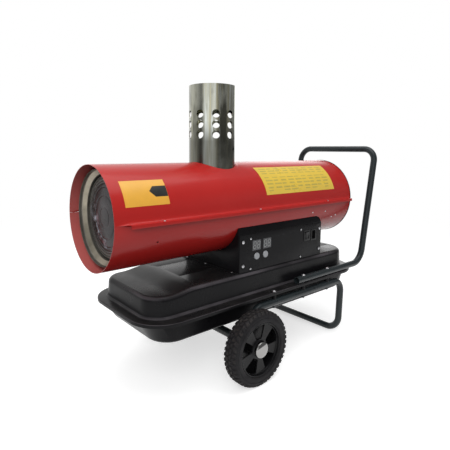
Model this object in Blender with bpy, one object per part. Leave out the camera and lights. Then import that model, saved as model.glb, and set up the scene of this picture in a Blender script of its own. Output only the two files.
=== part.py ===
"""Indirect fired heater on two wheels, modelled as an assembly of separate pieces.

Metres, +Z up. +X runs from the hot air outlet to the handle, -Y is the side with the controls.
The origin is on the floor, under the middle of the overall length.
Places along the heater are written as distances from the outlet rim and turned into X by along().
"""
from math import asin, cos, pi, radians, sin, sqrt, tan

import bmesh
import bpy
from mathutils import Matrix, Vector

# Shared clearances and sheet
GAP = 0.0003
RUNNING_PLAY = 0.00004
OVERRUN = 0.004
SHEET = 0.0012
PLATE = 0.0015

# Steps round a full circle, by size of the round
BIG_STEPS = 36
MID_STEPS = 24
SMALL_STEPS = 16
HOLE_STEPS = 10
TINY_STEPS = 8
FLAT_ANGLE = 0.02

# Casing: a long tube in two halves with a flanged seam at mid height
CASING_R = 0.150
CASING_LENGTH = 1.033
FLANGE_START = 0.039
FLANGE_END = 1.022
FLANGE_WIDTH = 0.017
FLANGE_LIP = 0.009
FLANGE_FLARE = 0.008
FLANGE_SCREW_PLACES = (0.140, 0.504, 0.869)
FLANGE_SCREW_OUT = 0.010
SEAM_HOLE_R = 0.0018
SIDE_HOLE_R = 0.003
SIDE_HOLE_PLACE = 0.131
SIDE_HOLE_ANGLE = -23.0

# Flue stub with its ring of air holes
FLUE_PLACE = 0.431
FLUE_R = 0.077
FLUE_RISE = 0.248
FLUE_CLEARANCE = 0.0015
FLUE_HOLE_SHARE = 0.400
FLUE_HOLE_COLUMNS = 9
FLUE_HOLE_ROWS = 3
FLUE_PITCH_SHARE = 0.13105
FLUE_FIRST_ROW_SHARE = 0.375
FLUE_PIN_HOLE_R = 0.004
FLUE_PIN_HOLE_SHARE = 0.6935
FLUE_PIN_HOLE_ANGLE = -60.0

# Heat exchanger drum: a hollow ring round the combustion chamber
AIR_WAY = 0.012
DRUM_DEPTH = 0.015
DRUM_FRONT = 0.022
DRUM_FRONT_SLOPE = 0.022
DRUM_NOSE = 0.006
DRUM_REAR = 0.640
CHAMBER_CLEAR = 0.006
CHAMBER_FRONT = 0.042
CHAMBER_DOME = 0.010
CHAMBER_REAR = 0.665
CHAMBER_SHEET = 0.002
CHAMBER_MOUTH_R = 0.052
CROSSOVER_PLACE = 0.580
CROSSOVER_R = 0.028
CROSSOVER_WALL = 0.002
SPACER_FRONT = 0.110
SPACER_REAR = 0.600
SPACER_LENGTH = 0.020
SPACER_HALF_ANGLE = 5.0
ROUND_PLAY = 0.0003

# Burner at the chamber's rear mouth
BURNER_TUBE_R = 0.046
BURNER_TUBE_FRONT = 0.600
BURNER_TUBE_REAR = 0.700
BURNER_FLANGE_R = 0.080
BURNER_FLANGE_T = 0.003
NOZZLE_TIP = 0.612
NOZZLE_REAR = 0.672
NOZZLE_R = 0.009
NOZZLE_TIP_R = 0.005
NOZZLE_TIP_LENGTH = 0.010
ELECTRODE_R = 0.004
ELECTRODE_WIRE_R = 0.0014
ELECTRODE_OUT = 0.012
ELECTRODE_UP = 0.022
ELECTRODE_CLAMP_PLACE = 0.655
ELECTRODE_CLAMP_T = 0.006
ELECTRODE_FRONT = 0.622
ELECTRODE_REAR = 0.690
ELECTRODE_WIRE_LENGTH = 0.014

# Motor, fuel pump and fan on one shaft
SHAFT_R = 0.006
SHAFT_FRONT = 0.752
SHAFT_REAR = 0.966
MOTOR_FRONT = 0.790
MOTOR_REAR = 0.885
MOTOR_R = 0.048
BEARING_R = 0.013
BEARING_LENGTH = 0.009
PUMP_FRONT = 0.7447
PUMP_R = 0.030
PUMP_CAVITY_R = 0.018
PUMP_BACK_T = 0.008
PUMP_COVER_T = 0.005
PUMP_ROTOR_R = 0.0170
PUMP_ROTOR_FRONT = 0.7500
PUMP_ROTOR_REAR = 0.7780
NOZZLE_PIPE_R = 0.003
NOZZLE_PIPE_RISE = 0.018
NOZZLE_PIPE_BEND = 0.008
FAN_TIP_CLEAR = 0.011
FAN_HUB_R = 0.024
FAN_HUB_FRONT = 0.924
FAN_HUB_REAR = 0.958
FAN_BLADES = 6
FAN_BLADE_T = 0.002
FAN_CHORD_ROOT = 0.034
FAN_CHORD_TIP = 0.078
FAN_PITCH_ROOT = 42.0
FAN_PITCH_TIP = 24.0
FAN_STATIONS = 4
BRACKET_RING_T = 0.003
BRACKET_FRONT = 0.800
BRACKET_REAR = 0.875
BRACKET_ARM_T = 0.004
BRACKET_FOOT_FRONT = 0.786
BRACKET_FOOT_REAR = 0.889
BRACKET_FOOT_T = 0.002
BRACKET_ARM_ANGLE = -15.0

# Guard over the rear intake
GUARD_RIM_WIDTH = 0.0057
GUARD_T = 0.003
GUARD_WIRE = 0.0026
GUARD_RINGS = 3
GUARD_SPOKES = 6
GUARD_CORE_R = 0.024

# Tank: an upper and a lower pressed tray with a folded brim
TANK_FRONT = 0.097
TANK_REAR = 1.031
TANK_SIDE_OUT = 0.008
TANK_FRONT_CORNER_R = 0.066
TANK_REAR_CORNER_R = 0.092
TANK_TOP_Z = 0.3245
TANK_FRONT_DROP = 0.0098
TANK_RAMP_START = 0.165
TANK_RAMP_END = 0.250
TANK_EDGE_R = 0.016
TANK_DRAFT = 0.003
BRIM_Z = 0.253
BRIM_MARGIN_FRONT = 0.032
BRIM_MARGIN_REAR = 0.035
BRIM_MARGIN_SIDE = 0.040
BRIM_LIP = 0.010
BRIM_FOLD_R = 0.003
BRIM_ROOT_R = 0.009
TRAY_BOTTOM_Z = 0.178
TRAY_INSET = 0.014
TRAY_TOP_OUT = 0.011
TRAY_BOTTOM_OUT = 0.007
TRAY_BOTTOM_FRONT = 0.124
TRAY_BOTTOM_REAR = 1.012
TRAY_EDGE_R = 0.012
TANK_CORNER_STEPS = 5
GROOVE_DEPTH = 0.0008
GROOVE_R = 0.006
GROOVE_LENGTH = 0.104
GROOVE_SIDES = (0.092, -0.042)
GROOVE_START = 0.266
REAR_GROOVE_START = 0.952
REAR_GROOVE_LENGTH = 0.050
REAR_GROOVE_SIDE = -0.070

# Filler with a bayonet cap, on the far side behind the control box
FILLER_PLACE = 0.930
FILLER_IN = 0.066
FILLER_R = 0.024
FILLER_WALL = 0.002
FILLER_RISE = 0.018
FILLER_SKIRT = 0.010
FILLER_FLANGE_R = 0.031
FILLER_FLANGE_T = 0.002
CAP_R = 0.031
CAP_TOP_T = 0.006
CAP_WALL = 0.003
CAP_SKIRT = 0.012
CAP_GRIP_COUNT = 8
CAP_GRIP_DEPTH = 0.0015
SEAL_T = 0.003

# Tubular handle and support frame
TUBE_R = 0.0125
TUBE_WALL = 0.0015
TUBE_SIDE_OUT = 0.030
HANDLE_START = 0.662
HANDLE_FOOT = 1.0667
HANDLE_TOP = 1.1445
HANDLE_TOP_Z = 0.7255
HANDLE_FOOT_BEND = 0.062
HANDLE_TOP_BEND = 0.050
BEND_STEPS = 4
RAIL_Z = 0.2165
RAIL_FRONT = 0.463
LEG_PLACE = 0.934
LEG_FOOT_PLACE = 0.926
LEG_BEND = 0.052
RAIL_FRONT_BEND = 0.034
RAIL_REAR_BEND = 0.046
AXLE_TUBE_R = 0.014
HANDLE_BOLT_PLACES = (0.698, 0.838)
FRAME_BOLT_PLACES = (0.546,)
BOLT_R = 0.004
BOLT_PLAY = 0.0004
BOLT_HEAD_R = 0.0072
BOLT_HEAD_H = 0.0045
NUT_R = 0.0072
NUT_H = 0.0065
SPACER_SLEEVE_R = 0.0078

# Wheels and axle
WHEEL_R = 0.117
AXLE_PLACE = 0.418
WHEEL_CLEAR = 0.0115
WHEEL_WIDTH = 0.0503
TYRE_HEIGHT = 0.033
TYRE_SHOULDER = 0.012
TREAD_CROWN = 0.003
RIM_LIP_T = 0.004
RIM_LIP_DEPTH = 0.003
RIM_WEB_T = 0.005
RIM_WEB_INSET = 0.012
RIM_BACK_T = 0.003
RIM_BACK_INSET = 0.010
RIM_HUB_R = 0.024
RIM_WINDOWS = 5
RIM_WINDOW_START = 95.0
RIM_WINDOW_FROM_HUB = 0.012
RIM_WINDOW_FROM_TYRE = 0.011
RIM_WINDOW_HALF_INNER = 0.0085
RIM_WINDOW_HALF_OUTER = 0.0185
HUB_INSET = 0.004
AXLE_R = 0.010
AXLE_NUT_R = 0.016
AXLE_NUT_T = 0.004
HUB_CAP_R = 0.026
HUB_CAP_SKIRT = 0.004
HUB_CAP_DOME = 0.010
HUB_CAP_T = 0.0012

# Control box that carries the casing on the tank
BOX_FRONT = 0.424
BOX_REAR = 0.849
BOX_SIDE_IN = 0.0038
BOX_SHOULDER_Z = 0.449
BOX_TOP_RISE = 0.024
BOX_SADDLE_IN = 0.005936
BOX_FLANGE = 0.014
BOX_WINDOW_MARGIN_X = 0.030
BOX_WINDOW_LOW_Z = 0.3430
BOX_WINDOW_HIGH_Z = 0.4275
PANEL_T = 0.0015
PANEL_MARGIN = 0.001
PANEL_SCREW_PLACES = (0.440, 0.837)
PANEL_SCREW_LOW_Z = 0.348
PANEL_SCREW_HIGH_Z = 0.4262
PANEL_SCREW_HEAD_R = 0.0058
PANEL_SCREW_HEAD_H = 0.0034
PANEL_SCREW_R = 0.0026
SCREW_DEPTH = 0.008
SCREW_PLAY = 0.0003
DISPLAY_PLACES = (0.5025, 0.5525)
DISPLAY_Z = 0.4090
DISPLAY_WIDTH = 0.039
DISPLAY_HEIGHT = 0.034
DISPLAY_RECESS = 0.0006
BUTTON_PLACES = (0.5025, 0.5435)
BUTTON_Z = 0.3720
BUTTON_R = 0.0115
BUTTON_RISE = 0.0030
BUTTON_TRAVEL = 0.0015
BUTTON_FLANGE_R = 0.0135
BUTTON_FLANGE_T = 0.0020
BUTTON_STEM_R = 0.004
BUTTON_STEM = 0.0100
BOARD_BEHIND = 0.0180
BOARD_T = 0.0016
BOARD_MARGIN = 0.008
DISPLAY_RIM = 0.0010
ROCKER_PLACE = 0.7625
ROCKER_Z = 0.4080
ROCKER_WIDTH = 0.022
ROCKER_HEIGHT = 0.027
ROCKER_TILT = 8.0
ROCKER_PIVOT_BEHIND = 0.0030
ROCKER_FACE_RISE = 0.0012
ROCKER_BODY_DEPTH = 0.0045
ROCKER_PIN_R = 0.0015
ROCKER_PLAY = 0.0009
BEZEL_RIM = 0.0035
BEZEL_RISE = 0.0015
BEZEL_DEPTH = 0.016
BEZEL_WALL = 0.0020
INLET_PLACE = 0.8020
INLET_Z = 0.4060
INLET_WIDTH = 0.0200
INLET_HEIGHT = 0.0320
INLET_RIM = 0.0030
INLET_RISE = 0.0012
INLET_DEPTH = 0.024
INLET_BACK_T = 0.006
INLET_WALL = 0.0022
INLET_PIN_W = 0.0020
INLET_PIN_H = 0.0040
INLET_PIN_PITCH = 0.0070
INLET_PIN_LENGTH = 0.0110
IGNITION_PLACE = 0.640
IGNITION_SIDE = 0.010
IGNITION_LENGTH = 0.070
IGNITION_WIDTH = 0.060
IGNITION_CLEAR = 0.0167

# Fuel line from the tank to the pump
FUEL_PLACE = 0.767
FUEL_IN = 0.0462
PICKUP_R = 0.004
PICKUP_COLLAR_R = 0.012
PICKUP_COLLAR_T = 0.003
PICKUP_RISE = 0.012
PICKUP_FLOOR_GAP = 0.012
STRAINER_R = 0.011
STRAINER_H = 0.016
FILTER_R = 0.015
FILTER_H = 0.026
FILTER_SPIGOT = 0.004
HOSE_R = 0.005
HOSE_BEND = 0.035
HOSE_PLAY = 0.0015

# Worked out from the sizes above: the box is nearly as wide as the casing, and the rest goes out from them
OVERALL_LENGTH = HANDLE_TOP + TUBE_R
FLOOR_Z = 0.0
BOX_HALF_WIDTH = CASING_R - BOX_SIDE_IN
BOX_BASE_Z = TANK_TOP_Z + GAP
BOX_SADDLE_HALF = BOX_HALF_WIDTH - BOX_SADDLE_IN
BOX_TOP_DOWN = sqrt((CASING_R + GAP) ** 2 - BOX_SADDLE_HALF ** 2)
CASING_AXIS_Z = BOX_SHOULDER_Z + BOX_TOP_RISE + BOX_TOP_DOWN
IGNITION_LOW_Z = BOX_BASE_Z + PLATE + GAP
IGNITION_TOP_Z = CASING_AXIS_Z - CASING_R - IGNITION_CLEAR
PANEL_Y = BOX_HALF_WIDTH + GAP + PANEL_T
FUEL_SIDE = BOX_HALF_WIDTH - FUEL_IN
FLUE_TOP_Z = CASING_AXIS_Z + CASING_R + FLUE_RISE
FLUE_HOLE_PITCH = FLUE_RISE * FLUE_PITCH_SHARE
FLUE_HOLE_R = FLUE_HOLE_PITCH * FLUE_HOLE_SHARE
FLUE_FIRST_ROW_DOWN = FLUE_RISE * FLUE_FIRST_ROW_SHARE
FLUE_PIN_HOLE_DOWN = FLUE_RISE * FLUE_PIN_HOLE_SHARE
DRUM_R = CASING_R - AIR_WAY
DRUM_INNER_R = DRUM_R - DRUM_DEPTH
CHAMBER_R = DRUM_INNER_R - CHAMBER_CLEAR
FAN_R = CASING_R - FAN_TIP_CLEAR
GUARD_RIM_R = CASING_R + SHEET
GUARD_RIM_INNER_R = GUARD_RIM_R - GUARD_RIM_WIDTH
TANK_HALF_WIDTH = CASING_R + TANK_SIDE_OUT
TRAY_TOP_HALF_WIDTH = TANK_HALF_WIDTH + TRAY_TOP_OUT
TRAY_BOTTOM_HALF_WIDTH = TANK_HALF_WIDTH + TRAY_BOTTOM_OUT
FILLER_SIDE = TANK_HALF_WIDTH - FILLER_IN
TUBE_SIDE_Y = TANK_HALF_WIDTH + TUBE_SIDE_OUT
WHEEL_INNER_Y = TUBE_SIDE_Y + TUBE_R + WHEEL_CLEAR
AXLE_TUBE_HALF = WHEEL_INNER_Y - GAP
AXLE_Z = WHEEL_R
TYRE_INNER_R = WHEEL_R - TYRE_HEIGHT
RIM_WINDOW_INNER_R = RIM_HUB_R + RIM_WINDOW_FROM_HUB
RIM_WINDOW_OUTER_R = TYRE_INNER_R - RIM_WINDOW_FROM_TYRE

# Shares, steps and small edges of the shapes
HEAD_CROWN_SHARE = 0.62
HEAD_CROWN_HEIGHT_SHARE = 0.82
HEAD_EDGE_SHARE = 0.30
FLANGE_ROOT_SHARE = 0.75
FLARE_STEPS = 4
DOME_STEPS = 3
SECTOR_STEPS = 2
CHAMBER_SPACER_ANGLES = (90.0, 210.0, 330.0)
DRUM_SPACER_ANGLES = (30.0, 150.0, 240.0, 300.0)
MOTOR_EDGE = 0.005
BRACKET_FOOT_HALF_ANGLE = 6.0
FAN_ROOT_SHARE = 0.55
GUARD_ARC_STEPS = 3
RAMP_SHARES = (0.0, 0.25, 0.5, 0.75, 1.0)
ROOT_SHARE = 0.7
GROOVE_STEPS = 4
CAP_EDGE = 0.002
BOSS_TURN = 7.0
BOLT_STEPS = 8
NUT_STEPS = 6
WINDOW_SIDE_SHARE = 0.93
WINDOW_TOP_SHARE = 0.82
HUB_DOME_STEPS = 3
HUB_HOLLOW_SHARE = 0.80
AXLE_END_SHARE = 0.55
SADDLE_STEPS = 18
BUTTON_EDGE = 0.0008
ROCKER_BACK_SHARE = 0.45


def along(distance):
    """X of a place given as its distance from the outlet rim."""
    return distance - OVERALL_LENGTH / 2


# Materials

def finish(name, colour, roughness, metallic=0.0):
    material = bpy.data.materials.new(name)
    material.use_nodes = True
    shader = material.node_tree.nodes["Principled BSDF"]
    shader.inputs["Base Color"].default_value = (*colour, 1.0)
    shader.inputs["Roughness"].default_value = roughness
    shader.inputs["Metallic"].default_value = metallic
    return material


def make_finishes():
    return {
        "red": finish("red_enamel", (0.52, 0.035, 0.028), 0.22),
        "black": finish("black_enamel", (0.016, 0.016, 0.018), 0.38),
        "grey": finish("dark_grey_tube", (0.030, 0.036, 0.040), 0.35),
        "steel": finish("polished_steel", (0.62, 0.60, 0.56), 0.18, 1.0),
        "dull": finish("dull_steel", (0.36, 0.34, 0.31), 0.42, 1.0),
        "zinc": finish("zinc_plate", (0.62, 0.62, 0.64), 0.35, 1.0),
        "brass": finish("brass", (0.72, 0.52, 0.22), 0.32, 1.0),
        "iron": finish("cast_iron", (0.10, 0.10, 0.11), 0.55, 0.6),
        "alloy": finish("alloy", (0.55, 0.56, 0.58), 0.45, 1.0),
        "rubber": finish("tyre_rubber", (0.030, 0.027, 0.025), 0.82),
        "plastic": finish("black_plastic", (0.014, 0.014, 0.015), 0.42),
        "gloss": finish("gloss_black_plastic", (0.010, 0.010, 0.011), 0.14),
        "key": finish("grey_button", (0.45, 0.46, 0.48), 0.40),
        "board": finish("circuit_board", (0.02, 0.16, 0.06), 0.50),
        "display": finish("display_face", (0.03, 0.03, 0.035), 0.20),
        "ceramic": finish("ceramic", (0.82, 0.80, 0.75), 0.30),
        "nylon": finish("nylon", (0.70, 0.69, 0.64), 0.50),
        "hose": finish("fuel_hose", (0.020, 0.020, 0.020), 0.60),
        "chrome": finish("chrome", (0.75, 0.75, 0.76), 0.08, 1.0),
    }


# Mesh helpers

def clear_scene():
    for item in list(bpy.data.objects):
        bpy.data.objects.remove(item, do_unlink=True)


def to_object(name, shape):
    bmesh.ops.recalc_face_normals(shape, faces=shape.faces)
    mesh = bpy.data.meshes.new(name)
    shape.to_mesh(mesh)
    shape.free()
    item = bpy.data.objects.new(name, mesh)
    bpy.context.scene.collection.objects.link(item)
    return item


def place(axis, distance, u, v):
    """Point at a distance along an axis, with its two other coordinates in X, Y, Z order."""
    if axis == "X":
        return Vector((distance, u, v))
    if axis == "Y":
        return Vector((u, distance, v))
    return Vector((u, v, distance))


def prism(name, outline, axis, low, high):
    """Outline of (u, v) points pushed along an axis from low to high."""
    shape = bmesh.new()
    points = [shape.verts.new(place(axis, low, u, v)) for u, v in outline]
    face = shape.faces.new(points)
    pushed = bmesh.ops.extrude_face_region(shape, geom=[face])
    top = [item for item in pushed["geom"] if isinstance(item, bmesh.types.BMVert)]
    bmesh.ops.translate(shape, verts=top, vec=place(axis, high - low, 0.0, 0.0))
    return to_object(name, shape)


def block(name, low, high):
    outline = [(low[0], low[1]), (high[0], low[1]), (high[0], high[1]), (low[0], high[1])]
    return prism(name, outline, "Z", low[2], high[2])


def turned(name, profile, axis, centre, steps, closed=False):
    """Solid of revolution: profile of (radius, distance) turned about an axis through centre."""
    shape = bmesh.new()
    if axis == "X":
        spot = [Vector((distance, centre[0], centre[1] + radius)) for radius, distance in profile]
        middle, direction = Vector((0.0, centre[0], centre[1])), Vector((1.0, 0.0, 0.0))
    elif axis == "Y":
        spot = [Vector((centre[0], distance, centre[1] + radius)) for radius, distance in profile]
        middle, direction = Vector((centre[0], 0.0, centre[1])), Vector((0.0, 1.0, 0.0))
    else:
        spot = [Vector((centre[0] + radius, centre[1], distance)) for radius, distance in profile]
        middle, direction = Vector((centre[0], centre[1], 0.0)), Vector((0.0, 0.0, 1.0))
    verts = [shape.verts.new(point) for point in spot]
    edges = [shape.edges.new(pair) for pair in zip(verts, verts[1:])]
    if closed:
        edges.append(shape.edges.new((verts[-1], verts[0])))
    bmesh.ops.spin(shape, geom=verts + edges, cent=middle, axis=direction, dvec=Vector((0.0, 0.0, 0.0)),
                   angle=2 * pi, steps=steps, use_merge=True, use_duplicate=False)
    bmesh.ops.remove_doubles(shape, verts=shape.verts, dist=GAP / 100)
    return to_object(name, shape)


def rod(name, axis, centre, radius, low, high, steps):
    return turned(name, [(0.0, low), (radius, low), (radius, high), (0.0, high)], axis, centre, steps)


def ring(name, axis, centre, inner, outer, low, high, steps):
    profile = [(inner, low), (outer, low), (outer, high), (inner, high)]
    return turned(name, profile, axis, centre, steps, closed=True)


def running_bore(radius, steps):
    """Corner radius of a bore whose flats just clear a round of this radius turning in it."""
    return (radius + RUNNING_PLAY) / cos(pi / steps)


def arc(radius, start, end, steps, centre=(0.0, 0.0)):
    """Points on an arc, angles in degrees."""
    points = []
    for step in range(steps + 1):
        angle = radians(start + (end - start) * step / steps)
        points.append((centre[0] + radius * cos(angle), centre[1] + radius * sin(angle)))
    return points


def rounded_path(corners, bends, steps):
    """Polyline through corners, with each inner corner replaced by an arc of its bend radius."""
    corners = [Vector(corner) for corner in corners]
    path = [corners[0]]
    for before, corner, after, bend in zip(corners, corners[1:], corners[2:], bends):
        into = (before - corner).normalized()
        out = (after - corner).normalized()
        half = into.angle(out) / 2
        reach = bend / tan(half)
        centre = corner + (into + out).normalized() * bend / sin(half)
        start = corner + into * reach - centre
        turn = pi - 2 * half
        axis = into.cross(out).normalized()
        for step in range(steps + 1):
            swing = Matrix.Rotation(-turn * step / steps, 3, axis)
            path.append(centre + swing @ start)
    path.append(corners[-1])
    return path


def bent_tube(name, path, radius, resolution=4):
    """Solid round bar along a path, made as a bevelled curve and turned into a mesh."""
    curve = bpy.data.curves.new(name, "CURVE")
    curve.dimensions = "3D"
    curve.bevel_depth = radius
    curve.bevel_resolution = resolution
    curve.use_fill_caps = True
    spline = curve.splines.new("POLY")
    spline.points.add(len(path) - 1)
    for point, spot in zip(spline.points, path):
        point.co = (*spot, 1.0)
    source = bpy.data.objects.new(name + "_path", curve)
    bpy.context.scene.collection.objects.link(source)
    bpy.context.view_layer.update()
    graph = bpy.context.evaluated_depsgraph_get()
    mesh = bpy.data.meshes.new_from_object(source.evaluated_get(graph))
    bpy.data.objects.remove(source, do_unlink=True)
    shape = bmesh.new()
    shape.from_mesh(mesh)
    bpy.data.meshes.remove(mesh)
    bmesh.ops.remove_doubles(shape, verts=shape.verts, dist=GAP / 100)
    return to_object(name, shape)


def flatten(item):
    """Splits faces of many corners into triangles, so that every face is flat."""
    shape = bmesh.new()
    shape.from_mesh(item.data)
    bmesh.ops.triangulate(shape, faces=[face for face in shape.faces if len(face.verts) > 3])
    shape.to_mesh(item.data)
    shape.free()


def merge_flats(item):
    """Joins triangles that lie in one plane back into larger faces."""
    shape = bmesh.new()
    shape.from_mesh(item.data)
    bmesh.ops.dissolve_limit(shape, angle_limit=radians(FLAT_ANGLE), verts=shape.verts, edges=shape.edges)
    shape.to_mesh(item.data)
    shape.free()


def combine(target, tool, operation):
    """Applies a Boolean with the exact solver and removes the tool."""
    flatten(target)
    flatten(tool)
    modifier = target.modifiers.new(operation.lower(), "BOOLEAN")
    modifier.operation = operation
    modifier.solver = "EXACT"
    modifier.object = tool
    bpy.context.view_layer.update()
    graph = bpy.context.evaluated_depsgraph_get()
    mesh = bpy.data.meshes.new_from_object(target.evaluated_get(graph))
    target.modifiers.clear()
    target.data = mesh
    merge_flats(target)
    bpy.data.objects.remove(tool, do_unlink=True)
    return target


def cut(target, *tools):
    for tool in tools:
        combine(target, tool, "DIFFERENCE")
    return target


def join(target, *tools):
    for tool in tools:
        combine(target, tool, "UNION")
    return target


def gather(name, items):
    """Cutters taken together, so that one Boolean removes them all."""
    shape = bmesh.new()
    for item in items:
        shape.from_mesh(item.data)
        bpy.data.objects.remove(item, do_unlink=True)
    return to_object(name, shape)


def turn(item, matrix):
    item.data.transform(matrix)
    return item


def about(axis, degrees, centre):
    return (Matrix.Translation(centre) @ Matrix.Rotation(radians(degrees), 4, axis)
            @ Matrix.Translation(-Vector(centre)))


def dress(item, material, pivot=None, sharp=38.0):
    """Gives the piece its finish and smooth shading, and sets its origin on its joint's axis."""
    item.data.materials.clear()
    item.data.materials.append(material)
    for face in item.data.polygons:
        face.material_index = 0
    item.data.shade_smooth()
    item.data.set_sharp_from_angle(angle=radians(sharp))
    if pivot is not None:
        item.data.transform(Matrix.Translation(-Vector(pivot)))
        item.location = pivot
    return item


def screw(name, axis, centre, face, side, head_r, head_h, shank_r, depth):
    """Domed head on a face with its shank behind it; side is the way the head stands out."""
    start = face + side * GAP
    profile = [(0.0, start + side * head_h)]
    profile.append((head_r * HEAD_CROWN_SHARE, start + side * head_h * HEAD_CROWN_HEIGHT_SHARE))
    profile.append((head_r, start + side * head_h * HEAD_EDGE_SHARE))
    profile.append((head_r, start))
    profile.append((shank_r, start))
    profile.append((shank_r, start - side * depth))
    profile.append((0.0, start - side * depth))
    return turned(name, profile, axis, centre, TINY_STEPS)


# Casing

def half_ring(outer, inner, start, end):
    steps = BIG_STEPS // 2
    centre = (0.0, CASING_AXIS_Z)
    return arc(outer, start, end, steps, centre) + arc(inner, end, start, steps, centre)


def mirrored(outline):
    return [(-u, v) for u, v in reversed(outline)]


def upper_flange_outline():
    root = CASING_R - SHEET * FLANGE_ROOT_SHARE
    edge = CASING_R + FLANGE_WIDTH
    low = CASING_AXIS_Z + GAP
    top = low + SHEET
    outline = [(root, low), (edge - SHEET, low), (edge - SHEET, low - FLANGE_LIP), (edge, low - FLANGE_LIP)]
    outline.append((edge, top - SHEET / 2))
    outline.append((edge - SHEET / 2, top))
    flare = arc(FLANGE_FLARE, -90.0, -180.0, FLARE_STEPS, (CASING_R + FLANGE_FLARE, top + FLANGE_FLARE))
    outline += flare
    outline.append((root, top + FLANGE_FLARE))
    return outline


def lower_flange_outline():
    root = CASING_R - SHEET * FLANGE_ROOT_SHARE
    edge = CASING_R + FLANGE_WIDTH - SHEET - GAP
    top = CASING_AXIS_Z
    return [(root, top - SHEET), (edge, top - SHEET), (edge, top), (root, top)]


def seam_holes():
    holes = []
    for side in (-1, 1):
        for distance in FLANGE_SCREW_PLACES:
            centre = (along(distance), side * (CASING_R + FLANGE_SCREW_OUT))
            holes.append(rod("hole", "Z", centre, SEAM_HOLE_R, CASING_AXIS_Z - FLANGE_LIP / 2,
                             CASING_AXIS_Z + FLANGE_LIP / 2, TINY_STEPS))
    return gather("holes", holes)


def radial(item, angle):
    """Turns a piece built straight up from the casing axis to an angle from +Y."""
    return turn(item, about("X", angle - 90.0, (0.0, 0.0, CASING_AXIS_Z)))


def make_casing(finishes):
    start, end = along(0.0), along(CASING_LENGTH)
    upper = prism("upper_casing", half_ring(CASING_R, CASING_R - SHEET, 0.0, 180.0), "X", start, end)
    seam = GAP / CASING_R * 180.0 / pi
    lower = prism("lower_casing", half_ring(CASING_R, CASING_R - SHEET, 180.0 + seam, 360.0 - seam),
                  "X", start, end)
    for outline in (upper_flange_outline(), mirrored(upper_flange_outline())):
        join(upper, prism("flange", outline, "X", along(FLANGE_START), along(FLANGE_END)))
    for outline in (lower_flange_outline(), mirrored(lower_flange_outline())):
        shifted = [(u, v - GAP) for u, v in outline]
        join(lower, prism("flange", shifted, "X", along(FLANGE_START), along(FLANGE_END)))
    cut(upper, rod("hole", "Z", (along(FLUE_PLACE), 0.0), FLUE_R + FLUE_CLEARANCE,
                   CASING_AXIS_Z, FLUE_TOP_Z, MID_STEPS))
    cut(upper, seam_holes())
    cut(lower, seam_holes())
    holes = []
    small = rod("hole", "Z", (along(SIDE_HOLE_PLACE), 0.0), SIDE_HOLE_R,
                CASING_AXIS_Z + CASING_R - OVERRUN, CASING_AXIS_Z + CASING_R + OVERRUN, TINY_STEPS)
    holes.append(radial(small, 180.0 - SIDE_HOLE_ANGLE))
    holes.append(rod("hole", "Z", (along(FUEL_PLACE), FUEL_SIDE), HOSE_R + HOSE_PLAY,
                     BOX_SHOULDER_Z - BOX_TOP_DOWN - OVERRUN, CASING_AXIS_Z - BOX_TOP_DOWN, SMALL_STEPS))
    cut(lower, gather("holes", holes))
    dress(upper, finishes["red"])
    dress(lower, finishes["red"])

# Flue, heat exchanger drum and combustion chamber

def make_flue(finishes):
    centre = (along(FLUE_PLACE), 0.0)
    flue = ring("flue_stub", "Z", centre, FLUE_R - PLATE, FLUE_R, CASING_AXIS_Z, FLUE_TOP_Z, BIG_STEPS)
    middle = Vector((centre[0], 0.0, 0.0))
    holes = []
    for row in range(FLUE_HOLE_ROWS):
        height = FLUE_TOP_Z - FLUE_FIRST_ROW_DOWN - FLUE_HOLE_PITCH * row
        for column in range(FLUE_HOLE_COLUMNS):
            hole = rod("hole", "X", (0.0, height), FLUE_HOLE_R, centre[0] + FLUE_R - FLUE_HOLE_R,
                       centre[0] + FLUE_R + OVERRUN, HOLE_STEPS)
            turn(hole, about("X", BOSS_TURN, (0.0, 0.0, height)))
            holes.append(turn(hole, about("Z", column * 360.0 / FLUE_HOLE_COLUMNS, middle)))
    pin_hole = rod("hole", "X", (0.0, FLUE_TOP_Z - FLUE_PIN_HOLE_DOWN), FLUE_PIN_HOLE_R,
                   centre[0] + FLUE_R - OVERRUN, centre[0] + FLUE_R + OVERRUN, TINY_STEPS)
    holes.append(turn(pin_hole, about("Z", FLUE_PIN_HOLE_ANGLE, middle)))
    cut(flue, gather("holes", holes))
    saddle = rod("saddle", "X", (0.0, CASING_AXIS_Z), DRUM_R + GAP, centre[0] - CASING_R,
                 centre[0] + CASING_R, BIG_STEPS)
    cut(flue, saddle)
    dress(flue, finishes["steel"])


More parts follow.
